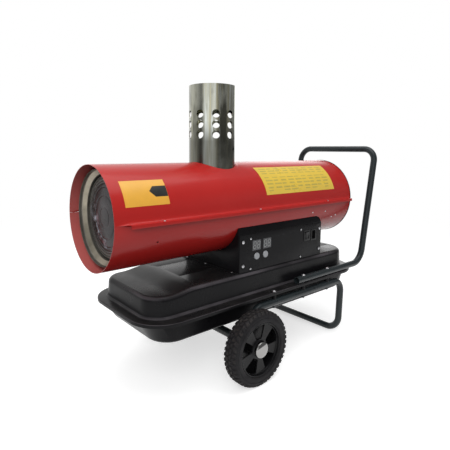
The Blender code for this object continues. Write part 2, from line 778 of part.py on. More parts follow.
def make_drum(finishes):
    front, rear = along(DRUM_FRONT), along(DRUM_REAR)
    nose = DRUM_NOSE
    skin = [(DRUM_INNER_R, front + DRUM_FRONT_SLOPE), (DRUM_R - nose, front), (DRUM_R - nose / 2, front),
            (DRUM_R, front + nose), (DRUM_R, rear), (DRUM_INNER_R, rear)]
    drum = turned("exchanger_drum", skin, "X", (0.0, CASING_AXIS_Z), BIG_STEPS, closed=True)
    low, high = DRUM_INNER_R + PLATE, DRUM_R - PLATE
    hollow = [(low, front + DRUM_FRONT_SLOPE + PLATE), (high - nose, front + PLATE + nose / 2),
              (high, front + PLATE + nose), (high, rear - PLATE), (low, rear - PLATE)]
    cut(drum, turned("hollow", hollow, "X", (0.0, CASING_AXIS_Z), BIG_STEPS, closed=True))
    middle = (DRUM_R + DRUM_INNER_R) / 2
    place_x = along(FLUE_PLACE)
    mouth = rod("mouth", "Z", (place_x, 0.0), FLUE_R - PLATE * 2, CASING_AXIS_Z, CASING_AXIS_Z + CASING_R,
                MID_STEPS)
    cut(mouth, rod("clear", "X", (0.0, CASING_AXIS_Z), middle, place_x - CASING_R, place_x + CASING_R,
                   MID_STEPS))
    cut(drum, mouth)
    cut(drum, rod("hole", "Z", (along(CROSSOVER_PLACE), 0.0), CROSSOVER_R - CROSSOVER_WALL,
                  CASING_AXIS_Z - middle, CASING_AXIS_Z - CHAMBER_R, SMALL_STEPS))
    for start in (SPACER_FRONT, SPACER_REAR):
        low, high = along(start), along(start + SPACER_LENGTH)
        for angle in DRUM_SPACER_ANGLES:
            join(drum, sector("spacer", DRUM_R - PLATE / 2, facet_in(CASING_R - SHEET), angle,
                              SPACER_HALF_ANGLE, low, high))
    dress(drum, finishes["dull"])


def dome_profile(radius, front, depth):
    """Half profile of a flat dome from its crown to its edge, as (radius, distance)."""
    ball = (radius * radius + depth * depth) / (2 * depth)
    sweep = asin(radius / ball)
    points = []
    for step in range(DOME_STEPS + 1):
        angle = sweep * step / DOME_STEPS
        points.append((ball * sin(angle), front + ball * (1 - cos(angle))))
    return points


def make_chamber(finishes):
    front, rear = along(CHAMBER_FRONT), along(CHAMBER_REAR)
    outside = dome_profile(CHAMBER_R, front, CHAMBER_DOME)
    outside += [(CHAMBER_R, rear), (CHAMBER_MOUTH_R, rear), (CHAMBER_MOUTH_R, rear - CHAMBER_SHEET)]
    inner_r = CHAMBER_R - CHAMBER_SHEET
    inside = dome_profile(inner_r, front + CHAMBER_SHEET, CHAMBER_DOME)
    outside.append((inner_r, rear - CHAMBER_SHEET))
    chamber = turned("combustion_chamber", outside + inside[::-1], "X", (0.0, CASING_AXIS_Z), BIG_STEPS)
    cut(chamber, rod("hole", "Z", (along(CROSSOVER_PLACE), 0.0), CROSSOVER_R - CROSSOVER_WALL,
                     CASING_AXIS_Z - DRUM_R, CASING_AXIS_Z - CHAMBER_R / 2, SMALL_STEPS))
    for start in (SPACER_FRONT, SPACER_REAR):
        low, high = along(start), along(start + SPACER_LENGTH)
        for angle in CHAMBER_SPACER_ANGLES:
            join(chamber, sector("spacer", CHAMBER_R - CHAMBER_SHEET / 2, facet_in(DRUM_INNER_R), angle,
                                 SPACER_HALF_ANGLE, low, high))
    dress(chamber, finishes["dull"])
    duct = ring("crossover_duct", "Z", (along(CROSSOVER_PLACE), 0.0), CROSSOVER_R - CROSSOVER_WALL,
                CROSSOVER_R,
                CASING_AXIS_Z - DRUM_INNER_R, CASING_AXIS_Z - CHAMBER_R / 2, MID_STEPS)
    reach = CROSSOVER_R * 2
    x = along(CROSSOVER_PLACE)
    keep = rod("keep", "X", (0.0, CASING_AXIS_Z), DRUM_INNER_R * cos(pi / BIG_STEPS) - ROUND_PLAY,
               x - reach, x + reach, BIG_STEPS)
    combine(duct, keep, "INTERSECT")
    cut(duct, rod("inside", "X", (0.0, CASING_AXIS_Z), CHAMBER_R + ROUND_PLAY, x - reach, x + reach,
                  BIG_STEPS))
    dress(duct, finishes["dull"])


def sector(name, inner, outer, angle, half_angle, low, high):
    """Block between two radii round the casing axis, angle from +Y in degrees."""
    centre = (0.0, CASING_AXIS_Z)
    outline = arc(outer, angle - half_angle, angle + half_angle, SECTOR_STEPS, centre)
    outline += arc(inner, angle + half_angle, angle - half_angle, SECTOR_STEPS, centre)
    return prism(name, outline, "X", low, high)


def facet_in(radius):
    """Largest radius that stays inside a turned bore of this radius, with the touching gap."""
    return radius * cos(pi / BIG_STEPS) - ROUND_PLAY


# Burner

def make_burner(finishes):
    centre = (0.0, CASING_AXIS_Z)
    inner = BURNER_TUBE_R - PLATE
    flange = along(CHAMBER_REAR) + GAP
    back = flange + BURNER_FLANGE_T
    profile = [(inner, along(BURNER_TUBE_FRONT)), (BURNER_TUBE_R, along(BURNER_TUBE_FRONT)),
               (BURNER_TUBE_R, flange), (BURNER_FLANGE_R, flange), (BURNER_FLANGE_R, back),
               (BURNER_TUBE_R, back), (BURNER_TUBE_R, along(BURNER_TUBE_REAR)),
               (inner, along(BURNER_TUBE_REAR))]
    head = turned("burner_head", profile, "X", centre, SMALL_STEPS, closed=True)
    dress(head, finishes["dull"])

    tip, rear = along(NOZZLE_TIP), along(NOZZLE_REAR)
    profile = [(0.0, tip), (NOZZLE_TIP_R, tip), (NOZZLE_R, tip + NOZZLE_TIP_LENGTH), (NOZZLE_R, rear),
               (0.0, rear)]
    dress(turned("fuel_nozzle", profile, "X", centre, SMALL_STEPS), finishes["brass"])

    half = ELECTRODE_OUT + ELECTRODE_R
    top = sqrt((inner * cos(pi / MID_STEPS) - GAP) ** 2 - half ** 2)
    low = along(ELECTRODE_CLAMP_PLACE)
    pair = block("electrodes", (low, -half, CASING_AXIS_Z + ELECTRODE_UP - ELECTRODE_R * 3 / 2),
                 (low + ELECTRODE_CLAMP_T, half, CASING_AXIS_Z + top))
    for side in (-1, 1):
        spot = (side * ELECTRODE_OUT, CASING_AXIS_Z + ELECTRODE_UP)
        front = along(ELECTRODE_FRONT)
        profile = [(0.0, front - ELECTRODE_WIRE_LENGTH), (ELECTRODE_WIRE_R, front - ELECTRODE_WIRE_LENGTH),
                   (ELECTRODE_WIRE_R, front), (ELECTRODE_R, front), (ELECTRODE_R, along(ELECTRODE_REAR)),
                   (0.0, along(ELECTRODE_REAR))]
        join(pair, turned("rod", profile, "X", spot, TINY_STEPS))
    dress(pair, finishes["ceramic"])


# Motor, pump, shaft and fan

def make_motor(finishes):
    centre = (0.0, CASING_AXIS_Z)
    front, rear = along(MOTOR_FRONT), along(MOTOR_REAR)
    bore = BEARING_R + GAP
    crown = MOTOR_R - MOTOR_EDGE
    profile = [(bore, front), (crown, front), (MOTOR_R, front + MOTOR_EDGE), (MOTOR_R, rear - MOTOR_EDGE),
               (crown, rear), (bore, rear)]
    dress(turned("motor_body", profile, "X", centre, MID_STEPS, closed=True), finishes["iron"])

    for name, low in (("front_bearing", front), ("rear_bearing", rear - BEARING_LENGTH)):
        bearing = ring(name, "X", centre, running_bore(SHAFT_R, SMALL_STEPS), BEARING_R, low,
                       low + BEARING_LENGTH, SMALL_STEPS)
        dress(bearing, finishes["zinc"])

    ring_r = MOTOR_R + GAP
    clamp = ring("motor_bracket", "X", centre, ring_r, ring_r + BRACKET_RING_T, along(BRACKET_FRONT),
                 along(BRACKET_REAR), MID_STEPS)
    foot_r = facet_in(CASING_R - SHEET)
    for angle in (BRACKET_ARM_ANGLE, 180.0 - BRACKET_ARM_ANGLE):
        arm = block("arm", (along(BRACKET_FRONT), -BRACKET_ARM_T / 2,
                            CASING_AXIS_Z + ring_r + BRACKET_RING_T / 2),
                    (along(BRACKET_REAR), BRACKET_ARM_T / 2, CASING_AXIS_Z + foot_r - BRACKET_FOOT_T / 2))
        join(clamp, radial(arm, angle))
        foot = sector("foot", foot_r - BRACKET_FOOT_T, foot_r, angle, BRACKET_FOOT_HALF_ANGLE,
                      along(BRACKET_FOOT_FRONT), along(BRACKET_FOOT_REAR))
        join(clamp, foot)
    dress(clamp, finishes["zinc"])


def make_pump(finishes):
    centre = (0.0, CASING_AXIS_Z)
    front, rear = along(PUMP_FRONT), along(MOTOR_FRONT) - GAP
    inner_back = rear - PUMP_BACK_T
    neck = running_bore(SHAFT_R, MID_STEPS)
    profile = [(PUMP_CAVITY_R, front), (PUMP_R, front), (PUMP_R, rear), (neck, rear), (neck, inner_back),
               (PUMP_CAVITY_R, inner_back)]
    housing = turned("pump_housing", profile, "X", centre, MID_STEPS, closed=True)
    dress(housing, finishes["alloy"])
    cover_front = front - GAP - PUMP_COVER_T
    cover = rod("pump_cover", "X", centre, PUMP_R, cover_front, front - GAP, MID_STEPS)
    dress(cover, finishes["alloy"])
    start = along(NOZZLE_REAR) + GAP
    corners = [(start, 0.0, CASING_AXIS_Z), (start + NOZZLE_PIPE_BEND * 3, 0.0, CASING_AXIS_Z),
               (start + NOZZLE_PIPE_BEND * 4, 0.0, CASING_AXIS_Z + NOZZLE_PIPE_RISE),
               (cover_front - GAP, 0.0, CASING_AXIS_Z + NOZZLE_PIPE_RISE)]
    path = rounded_path(corners, (NOZZLE_PIPE_BEND, NOZZLE_PIPE_BEND), BEND_STEPS)
    dress(bent_tube("nozzle_pipe", path, NOZZLE_PIPE_R, 2), finishes["brass"])


def fan_blade(name):
    """One pitched blade, lofted from the hub to the tip; stations run outward along +Z."""
    shape = bmesh.new()
    rings = []
    middle = along((FAN_HUB_FRONT + FAN_HUB_REAR) / 2)
    root_r = FAN_HUB_R * FAN_ROOT_SHARE
    for station in range(FAN_STATIONS):
        share = station / (FAN_STATIONS - 1)
        radius = root_r + (FAN_R - root_r) * share
        chord = FAN_CHORD_ROOT + (FAN_CHORD_TIP - FAN_CHORD_ROOT) * share
        pitch = radians(FAN_PITCH_ROOT + (FAN_PITCH_TIP - FAN_PITCH_ROOT) * share)
        corners = []
        for across, thick in ((-1, -1), (1, -1), (1, 1), (-1, 1)):
            u = across * chord / 2
            w = thick * FAN_BLADE_T / 2
            side = u * cos(pitch) - w * sin(pitch)
            depth = u * sin(pitch) + w * cos(pitch)
            height = sqrt(max(radius * radius - side * side, 0.0)) if station else radius
            corners.append(shape.verts.new((middle + depth, side, CASING_AXIS_Z + height)))
        rings.append(corners)
    for lower, upper in zip(rings, rings[1:]):
        for index in range(4):
            after = (index + 1) % 4
            quad = (lower[index], lower[after], upper[after], upper[index])
            shape.faces.new(quad[:3])
            shape.faces.new((quad[0], quad[2], quad[3]))
    shape.faces.new(rings[0])
    shape.faces.new(rings[-1])
    return to_object(name, shape)


def make_rotor(finishes):
    """Everything that turns with the motor: shaft, fan and pump rotor."""
    centre = (0.0, CASING_AXIS_Z)
    pivot = (along(FAN_HUB_REAR), 0.0, CASING_AXIS_Z)
    shaft = rod("motor_shaft", "X", centre, SHAFT_R, along(SHAFT_FRONT), along(SHAFT_REAR), SMALL_STEPS)
    bore = SHAFT_R + GAP
    fan = rod("fan", "X", centre, FAN_HUB_R, along(FAN_HUB_FRONT), along(FAN_HUB_REAR), MID_STEPS)
    for index in range(FAN_BLADES):
        blade = fan_blade("blade")
        join(fan, turn(blade, about("X", index * 360.0 / FAN_BLADES, (0.0, 0.0, CASING_AXIS_Z))))
    cut(fan, rod("bore", "X", centre, bore, along(FAN_HUB_FRONT) - OVERRUN, along(FAN_HUB_REAR) + OVERRUN,
                 SMALL_STEPS))
    dress(fan, finishes["alloy"], pivot)
    dress(shaft, finishes["zinc"], pivot)
    rotor = ring("pump_rotor", "X", centre, bore, PUMP_ROTOR_R, along(PUMP_ROTOR_FRONT),
                 along(PUMP_ROTOR_REAR), SMALL_STEPS)
    dress(rotor, finishes["zinc"], pivot)


def guard_window(inner, outer, index, low, high):
    """Opening between two rings of wire and two spokes, whose sides run parallel."""
    pitch = 360.0 / GUARD_SPOKES
    centre = (0.0, CASING_AXIS_Z)
    near = asin(GUARD_WIRE / 2 / inner) * 180.0 / pi
    far = asin(GUARD_WIRE / 2 / outer) * 180.0 / pi
    start, end = index * pitch, (index + 1) * pitch
    outline = arc(outer, start + far, end - far, GUARD_ARC_STEPS, centre)
    outline += arc(inner, end - near, start + near, GUARD_ARC_STEPS, centre)
    return prism("window", outline, "X", low, high)


def make_guard(finishes):
    low = along(CASING_LENGTH) + GAP
    high = low + GUARD_T
    guard = rod("rear_guard", "X", (0.0, CASING_AXIS_Z), GUARD_RIM_R, low, high, BIG_STEPS)
    pitch = (GUARD_RIM_INNER_R - GUARD_CORE_R) / (GUARD_RINGS + 1)
    windows = []
    for ring_index in range(GUARD_RINGS + 1):
        inner = GUARD_CORE_R + pitch * ring_index + GUARD_WIRE / 2
        outer = GUARD_CORE_R + pitch * (ring_index + 1) - GUARD_WIRE / 2
        for index in range(GUARD_SPOKES):
            windows.append(guard_window(inner, outer, index, low - OVERRUN, high + OVERRUN))
    cut(guard, gather("windows", windows))
    dress(guard, finishes["black"])


# Tank

def tray_half_outline(front, rear, half_width, front_r, rear_r, extra):
    """Half outline of a tray from front to rear as (x, half width), with extra places along its side."""
    points = []
    steps = TANK_CORNER_STEPS
    for step in range(steps + 1):
        angle = pi / 2 * step / steps
        points.append((front + front_r * (1 - cos(angle)), half_width - front_r * (1 - sin(angle))))
    points += [(x, half_width) for x in extra]
    for step in range(steps + 1):
        angle = pi / 2 * (1 - step / steps)
        points.append((rear - rear_r * (1 - cos(angle)), half_width - rear_r * (1 - sin(angle))))
    return points


def tank_top_z(x):
    """Height of the tank's top, which dips over a smooth ramp towards the outlet."""
    share = (x - along(TANK_RAMP_START)) / (TANK_RAMP_END - TANK_RAMP_START)
    share = min(max(share, 0.0), 1.0)
    return TANK_TOP_Z - TANK_FRONT_DROP * (1 - share * share * (3 - 2 * share))


def ramp_places():
    return [along(TANK_RAMP_START + (TANK_RAMP_END - TANK_RAMP_START) * share) for share in RAMP_SHARES]


def tray_ring(shape, level, extra):
    """One ring of vertices round the tray. level is (front, rear, half width, corner radii, height)."""
    front, rear, half_width, front_r, rear_r, height = level
    outline = tray_half_outline(front, rear, half_width, front_r, rear_r, extra)
    near = [shape.verts.new((x, -y, height(x))) for x, y in outline]
    far = [shape.verts.new((x, y, height(x))) for x, y in outline]
    return near, far


def bridge_rings(shape, lower, upper):
    near_a, far_a = lower
    near_b, far_b = upper
    loop_a = near_a + far_a[::-1]
    loop_b = near_b + far_b[::-1]
    count = len(loop_a)
    for index in range(count):
        after = (index + 1) % count
        shape.faces.new((loop_a[index], loop_a[after], loop_b[after], loop_b[index]))


def cap_ring(shape, pair):
    near, far = pair
    for index in range(len(near) - 1):
        shape.faces.new((near[index], near[index + 1], far[index + 1], far[index]))


def tray_shell(name, outer_levels, inner_levels, extra):
    """Pressed tray: outer and inner skins from the open edge to the closed face, joined at the edge."""
    shape = bmesh.new()
    outer = [tray_ring(shape, level, extra) for level in outer_levels]
    inner = [tray_ring(shape, level, extra) for level in inner_levels]
    for skin in (outer, inner):
        for lower, upper in zip(skin, skin[1:]):
            bridge_rings(shape, lower, upper)
        cap_ring(shape, skin[-1])
    bridge_rings(shape, outer[0], inner[0])
    return to_object(name, shape)


def level(out, height, sides=None):
    """Ring of the tank's plan grown outward by out; height is a number or a rule of x."""
    front = along(TANK_FRONT) - out * BRIM_MARGIN_FRONT / BRIM_MARGIN_SIDE
    rear = along(TANK_REAR) + out * BRIM_MARGIN_REAR / BRIM_MARGIN_SIDE
    rule = height if callable(height) else (lambda x: height)
    return (front, rear, TANK_HALF_WIDTH + out, TANK_FRONT_CORNER_R + out, TANK_REAR_CORNER_R + out, rule)


def make_tank(finishes):
    extra = ramp_places()
    brim = BRIM_MARGIN_SIDE
    edge = TANK_EDGE_R
    drawn = edge * (1 - sqrt(1 / 2))
    draft = TANK_DRAFT
    outer = [level(brim, BRIM_Z - BRIM_LIP), level(brim, BRIM_Z - BRIM_FOLD_R),
             level(brim - BRIM_FOLD_R, BRIM_Z), level(BRIM_ROOT_R, BRIM_Z),
             level(BRIM_ROOT_R - BRIM_ROOT_R * ROOT_SHARE, BRIM_Z + BRIM_ROOT_R * (1 - ROOT_SHARE)),
             level(0.0, BRIM_Z + BRIM_ROOT_R),
             level(-draft, lambda x: tank_top_z(x) - edge),
             level(-draft - drawn, lambda x: tank_top_z(x) - drawn),
             level(-draft - edge, tank_top_z)]
    t = PLATE
    inner = [level(brim - t, BRIM_Z - BRIM_LIP), level(brim - t, BRIM_Z - BRIM_FOLD_R),
             level(brim - BRIM_FOLD_R, BRIM_Z - t), level(BRIM_ROOT_R - t, BRIM_Z - t),
             level(-t, BRIM_Z + BRIM_ROOT_R),
             level(-draft - t, lambda x: tank_top_z(x) - edge),
             level(-draft - edge, lambda x: tank_top_z(x) - t)]
    upper = tray_shell("tank_upper", outer, inner, extra)
    holes = [rod("hole", "Z", (along(FILLER_PLACE), FILLER_SIDE), FILLER_R + GAP, BRIM_Z, CASING_AXIS_Z,
                 MID_STEPS),
             rod("hole", "Z", (along(FUEL_PLACE), FUEL_SIDE), PICKUP_R + GAP, BRIM_Z, CASING_AXIS_Z,
                 SMALL_STEPS)]
    for side in GROOVE_SIDES:
        holes.append(groove(along(GROOVE_START), GROOVE_LENGTH, side))
    holes.append(groove(along(REAR_GROOVE_START), REAR_GROOVE_LENGTH, REAR_GROOVE_SIDE))
    cut(upper, gather("holes", holes))
    cut(upper, bolt_holes(BRIM_Z - BRIM_LIP, TANK_TOP_Z - TANK_EDGE_R))
    dress(upper, finishes["black"])

    brim_low = BRIM_Z - PLATE - GAP
    wide = TRAY_TOP_HALF_WIDTH
    low_wide = TRAY_BOTTOM_HALF_WIDTH
    edge = TRAY_EDGE_R
    drawn = edge * (1 - sqrt(1 / 2))
    brim_out = brim - t - GAP
    outline_brim = level(brim_out - BRIM_FOLD_R, brim_low)
    front_top = outline_brim[0] + TRAY_INSET
    rear_top = outline_brim[1] - TRAY_INSET
    front_low, rear_low = along(TRAY_BOTTOM_FRONT), along(TRAY_BOTTOM_REAR)
    front_r, rear_r = TANK_FRONT_CORNER_R, TANK_REAR_CORNER_R

    def tray(inset, height):
        """Ring of the lower tray, whose walls lean in from the brim to the bottom."""
        share = (brim_low - height) / (brim_low - TRAY_BOTTOM_Z)
        front = front_top + (front_low - front_top) * share + inset
        rear = rear_top + (rear_low - rear_top) * share - inset
        half = wide + (low_wide - wide) * share - inset
        return (front, rear, half, front_r - inset, rear_r - inset, lambda x: height)

    outer = [outline_brim, level(brim_out - BRIM_FOLD_R, brim_low - t), tray(0.0, brim_low - t),
             tray(0.0, TRAY_BOTTOM_Z + edge), tray(drawn, TRAY_BOTTOM_Z + drawn), tray(edge, TRAY_BOTTOM_Z)]
    inner = [tray(t, brim_low), tray(t, TRAY_BOTTOM_Z + edge), tray(edge, TRAY_BOTTOM_Z + t)]
    lower = tray_shell("tank_lower", outer, inner, extra)
    cut(lower, bolt_holes(TRAY_BOTTOM_Z, BRIM_Z + BRIM_LIP))
    dress(lower, finishes["black"])


def groove(start, length, side):
    """Long round-ended cutter for a shallow groove pressed in the tank's top."""
    half = arc(GROOVE_R, 90.0, 270.0, GROOVE_STEPS, (start + GROOVE_R, side))
    other = arc(GROOVE_R, -90.0, 90.0, GROOVE_STEPS, (start + length - GROOVE_R, side))
    return prism("groove", half + other, "Z", TANK_TOP_Z - GROOVE_DEPTH, TANK_TOP_Z + OVERRUN)


def bolt_places():
    """Every bolt through the brim and the rail, as (place, side)."""
    places = []
    for side in (-1, 1):
        for distance in HANDLE_BOLT_PLACES + FRAME_BOLT_PLACES:
            places.append((along(distance), side * TUBE_SIDE_Y))
    return places


def bolt_holes(low, high):
    holes = []
    for x, y in bolt_places():
        hole = rod("hole", "Z", (x, y), BOLT_R + BOLT_PLAY, low, high, BOLT_STEPS)
        holes.append(turn(hole, about("Z", BOSS_TURN, (x, y, 0.0))))
    return gather("holes", holes)


# Filler neck and cap

def make_filler(finishes):
    centre = (along(FILLER_PLACE), FILLER_SIDE)
    base = TANK_TOP_Z + GAP
    top = base + FILLER_RISE
    inner = FILLER_R - FILLER_WALL
    profile = [(inner, base - FILLER_SKIRT), (FILLER_R, base - FILLER_SKIRT), (FILLER_R, base),
               (FILLER_FLANGE_R, base), (FILLER_FLANGE_R, base + FILLER_FLANGE_T),
               (FILLER_R, base + FILLER_FLANGE_T),
               (FILLER_R, top), (inner, top)]
    dress(turned("filler_neck", profile, "Z", centre, MID_STEPS, closed=True), finishes["black"])

    seal_low = top + GAP
    seal = ring("cap_seal", "Z", centre, inner, FILLER_R, seal_low, seal_low + SEAL_T, MID_STEPS)
    pivot = (centre[0], centre[1], seal_low)
    dress(seal, finishes["hose"], pivot)

    roof = seal_low + SEAL_T + GAP
    hollow = CAP_R - CAP_WALL
    edge = roof + CAP_TOP_T
    profile = [(0.0, roof), (hollow, roof), (hollow, roof - CAP_SKIRT), (CAP_R, roof - CAP_SKIRT),
               (CAP_R, edge - CAP_EDGE), (CAP_R - CAP_EDGE, edge), (0.0, edge)]
    cap = turned("fuel_cap", profile, "Z", centre, MID_STEPS)
    notches = []
    for index in range(CAP_GRIP_COUNT):
        notch = rod("notch", "Z", (centre[0] + CAP_R + CAP_GRIP_DEPTH, centre[1]), CAP_GRIP_DEPTH * 2,
                    roof - CAP_SKIRT - OVERRUN, edge + OVERRUN, TINY_STEPS)
        notches.append(turn(notch, about("Z", index * 360.0 / CAP_GRIP_COUNT, (centre[0], centre[1], 0.0))))
    cut(cap, gather("notches", notches))
    dress(cap, finishes["plastic"], pivot)


# Handle and support frame

def lower_rest_z():
    """Height of the handle's axis where it lies on the brim."""
    return BRIM_Z + GAP + TUBE_R


def make_handle(finishes):
    side = TUBE_SIDE_Y
    low = lower_rest_z()
    start, foot, top = along(HANDLE_START), along(HANDLE_FOOT), along(HANDLE_TOP)
    corners = [(start, -side, low), (foot, -side, low), (top, -side, HANDLE_TOP_Z), (top, side, HANDLE_TOP_Z),
               (foot, side, low), (start, side, low)]
    bends = (HANDLE_FOOT_BEND, HANDLE_TOP_BEND, HANDLE_TOP_BEND, HANDLE_FOOT_BEND)
    path = rounded_path(corners, bends, BEND_STEPS)
    handle = bent_tube("handle", path, TUBE_R)
    bore_path = [path[0] - Vector((OVERRUN, 0.0, 0.0))] + path[1:-1] + [path[-1] - Vector((OVERRUN, 0.0,
                                                                                           0.0))]
    cut(handle, bent_tube("bore", bore_path, TUBE_R - TUBE_WALL, 2))
    cut(handle, bolt_holes(low - TUBE_R * 2, low + TUBE_R * 2))
    dress(handle, finishes["grey"])


def make_frame(finishes):
    side = TUBE_SIDE_Y
    axle = along(AXLE_PLACE)
    rail_front, leg, foot = along(RAIL_FRONT), along(LEG_PLACE), along(LEG_FOOT_PLACE)
    low = FLOOR_Z + TUBE_R
    half = [(axle, side, AXLE_Z), (rail_front, side, RAIL_Z), (leg, side, RAIL_Z), (foot, side, low)]
    corners = [(x, -y, z) for x, y, z in half] + half[::-1]
    bends = (RAIL_FRONT_BEND, RAIL_REAR_BEND, LEG_BEND, LEG_BEND, RAIL_REAR_BEND, RAIL_FRONT_BEND)
    path = rounded_path(corners, bends, BEND_STEPS)
    frame = bent_tube("support_frame", path, TUBE_R)
    join(frame, rod("axle_tube", "Y", (axle, AXLE_Z), AXLE_TUBE_R, -AXLE_TUBE_HALF, AXLE_TUBE_HALF,
                    MID_STEPS))
    brim_under = BRIM_Z - PLATE * 2 - GAP * 2
    bosses = []
    for x, y in bolt_places():
        sleeve = rod("sleeve", "Z", (x, y), SPACER_SLEEVE_R, RAIL_Z, brim_under, HOLE_STEPS)
        nut = rod("nut", "Z", (x, y), NUT_R, RAIL_Z - TUBE_R - NUT_H, RAIL_Z, NUT_STEPS)
        for boss in (sleeve, nut):
            bosses.append(turn(boss, about("Z", BOSS_TURN, (x, y, 0.0))))
    join(frame, *bosses)
    inset = (path[1] - path[0]).normalized() * (AXLE_TUBE_R + TUBE_WALL)
    far_inset = Vector((inset[0], 0.0, inset[2]))
    bore_path = [path[0] + inset] + path[1:-1] + [path[-1] + far_inset]
    cut(frame, bent_tube("bore", bore_path, TUBE_R - TUBE_WALL, 1))
    cut(frame, bolt_holes(RAIL_Z - TUBE_R * 2, RAIL_Z + TUBE_R * 3))
    cut(frame, rod("axle_bore", "Y", (axle, AXLE_Z), AXLE_R + GAP, -AXLE_TUBE_HALF - OVERRUN,
                   AXLE_TUBE_HALF + OVERRUN, MID_STEPS))
    dress(frame, finishes["grey"])


def bolt(name, spot, seat, reach):
    """Bolt with a low domed head on its seat and its shank down to reach."""
    head = seat + BOLT_HEAD_H
    crown = head - BOLT_HEAD_H * (1 - HEAD_CROWN_HEIGHT_SHARE)
    profile = [(0.0, head), (BOLT_HEAD_R * HEAD_CROWN_SHARE, crown),
               (BOLT_HEAD_R, seat + BOLT_HEAD_H * HEAD_EDGE_SHARE), (BOLT_HEAD_R, seat), (BOLT_R, seat),
               (BOLT_R, reach), (0.0, reach)]
    return turned(name, profile, "Z", spot, BOLT_STEPS)


def make_frame_bolts(finishes):
    end = RAIL_Z - TUBE_R - NUT_H
    for prefix, side in (("near", -1), ("far", 1)):
        for index, distance in enumerate(HANDLE_BOLT_PLACES):
            spot = (along(distance), side * TUBE_SIDE_Y)
            name = prefix + "_handle_bolt_" + str(index + 1)
            dress(bolt(name, spot, lower_rest_z() + TUBE_R + GAP, end), finishes["zinc"])
        for distance in FRAME_BOLT_PLACES:
            spot = (along(distance), side * TUBE_SIDE_Y)
            dress(bolt(prefix + "_frame_bolt", spot, BRIM_Z + GAP, end), finishes["zinc"])


# Wheels

def make_wheel(prefix, side, finishes):
    """One wheel; side is -1 on the control side and 1 on the far side."""
    centre = (along(AXLE_PLACE), AXLE_Z)
    inner, outer = side * WHEEL_INNER_Y, side * (WHEEL_INNER_Y + WHEEL_WIDTH)
    pivot = (centre[0], outer, centre[1])
    shoulder = TYRE_SHOULDER
    crown = WHEEL_R - TREAD_CROWN
    profile = [(TYRE_INNER_R, inner), (WHEEL_R - shoulder, inner), (crown, inner + side * shoulder / 2),
               (WHEEL_R, inner + side * shoulder), (WHEEL_R, outer - side * shoulder),
               (crown, outer - side * shoulder / 2), (WHEEL_R - shoulder, outer), (TYRE_INNER_R, outer)]
    tyre = turned(prefix + "_tyre", profile, "Y", centre, BIG_STEPS, closed=True)
    dress(tyre, finishes["rubber"], pivot)

    rim_r = TYRE_INNER_R * cos(pi / BIG_STEPS) - GAP
    barrel = rim_r - RIM_LIP_T
    bore = running_bore(AXLE_R, BIG_STEPS)
    web_out = outer - side * RIM_WEB_INSET
    web_in = web_out - side * RIM_WEB_T
    lip_in, lip_out = inner + side * RIM_LIP_DEPTH, outer - side * RIM_LIP_DEPTH
    back_in = inner + side * RIM_BACK_INSET
    back_out = back_in + side * RIM_BACK_T
    hub_in, hub_out = inner, outer - side * HUB_INSET
    profile = [(bore, hub_in), (RIM_HUB_R, hub_in), (RIM_HUB_R, back_in), (barrel, back_in), (barrel, lip_in),
               (rim_r, lip_in), (rim_r, lip_out), (barrel, lip_out), (barrel, web_out), (RIM_HUB_R, web_out),
               (RIM_HUB_R, hub_out), (bore, hub_out)]
    rim = turned(prefix + "_rim", profile, "Y", centre, BIG_STEPS, closed=True)
    low, high = sorted((back_out, web_in))
    hollow = ring("hollow", "Y", centre, RIM_HUB_R, barrel, low, high, BIG_STEPS)
    low, high = sorted((web_in - side * RIM_WEB_T, web_out + side * OVERRUN))
    for index in range(RIM_WINDOWS):
        outline = [(-RIM_WINDOW_HALF_INNER, RIM_WINDOW_INNER_R), (RIM_WINDOW_HALF_INNER, RIM_WINDOW_INNER_R),
                   (RIM_WINDOW_HALF_OUTER, RIM_WINDOW_OUTER_R * WINDOW_SIDE_SHARE),
                   (RIM_WINDOW_HALF_OUTER * WINDOW_TOP_SHARE, RIM_WINDOW_OUTER_R),
                   (-RIM_WINDOW_HALF_OUTER * WINDOW_TOP_SHARE, RIM_WINDOW_OUTER_R),
                   (-RIM_WINDOW_HALF_OUTER, RIM_WINDOW_OUTER_R * WINDOW_SIDE_SHARE)]
        outline = [(centre[0] + u, centre[1] + v) for u, v in outline]
        window = prism("window", outline, "Y", low, high)
        angle = RIM_WINDOW_START + index * 360.0 / RIM_WINDOWS - 90.0
        join(hollow, turn(window, about("Y", -angle, (centre[0], 0.0, centre[1]))))
    cut(rim, hollow)
    dress(rim, finishes["gloss"], pivot)

    seat = hub_out + side * GAP
    skirt = (RIM_HUB_R + GAP) / cos(pi / SMALL_STEPS)
    start = hub_out - side * HUB_CAP_SKIRT
    edge = seat + side * HUB_CAP_T
    dome = []
    for step in range(HUB_DOME_STEPS + 1):
        angle = pi / 2 * step / HUB_DOME_STEPS
        dome.append((HUB_CAP_R * cos(angle), edge + side * HUB_CAP_DOME * sin(angle)))
    profile = [(0.0, seat + side * (HUB_CAP_DOME - HUB_CAP_T)),
               (skirt * HUB_HOLLOW_SHARE, seat + side * HUB_CAP_DOME / 2),
               (skirt * HUB_HOLLOW_SHARE, seat), (skirt, seat), (skirt, start), (HUB_CAP_R, start)] + dome
    cap = turned(prefix + "_hub_cap", profile, "Y", centre, SMALL_STEPS)
    dress(cap, finishes["chrome"], pivot)


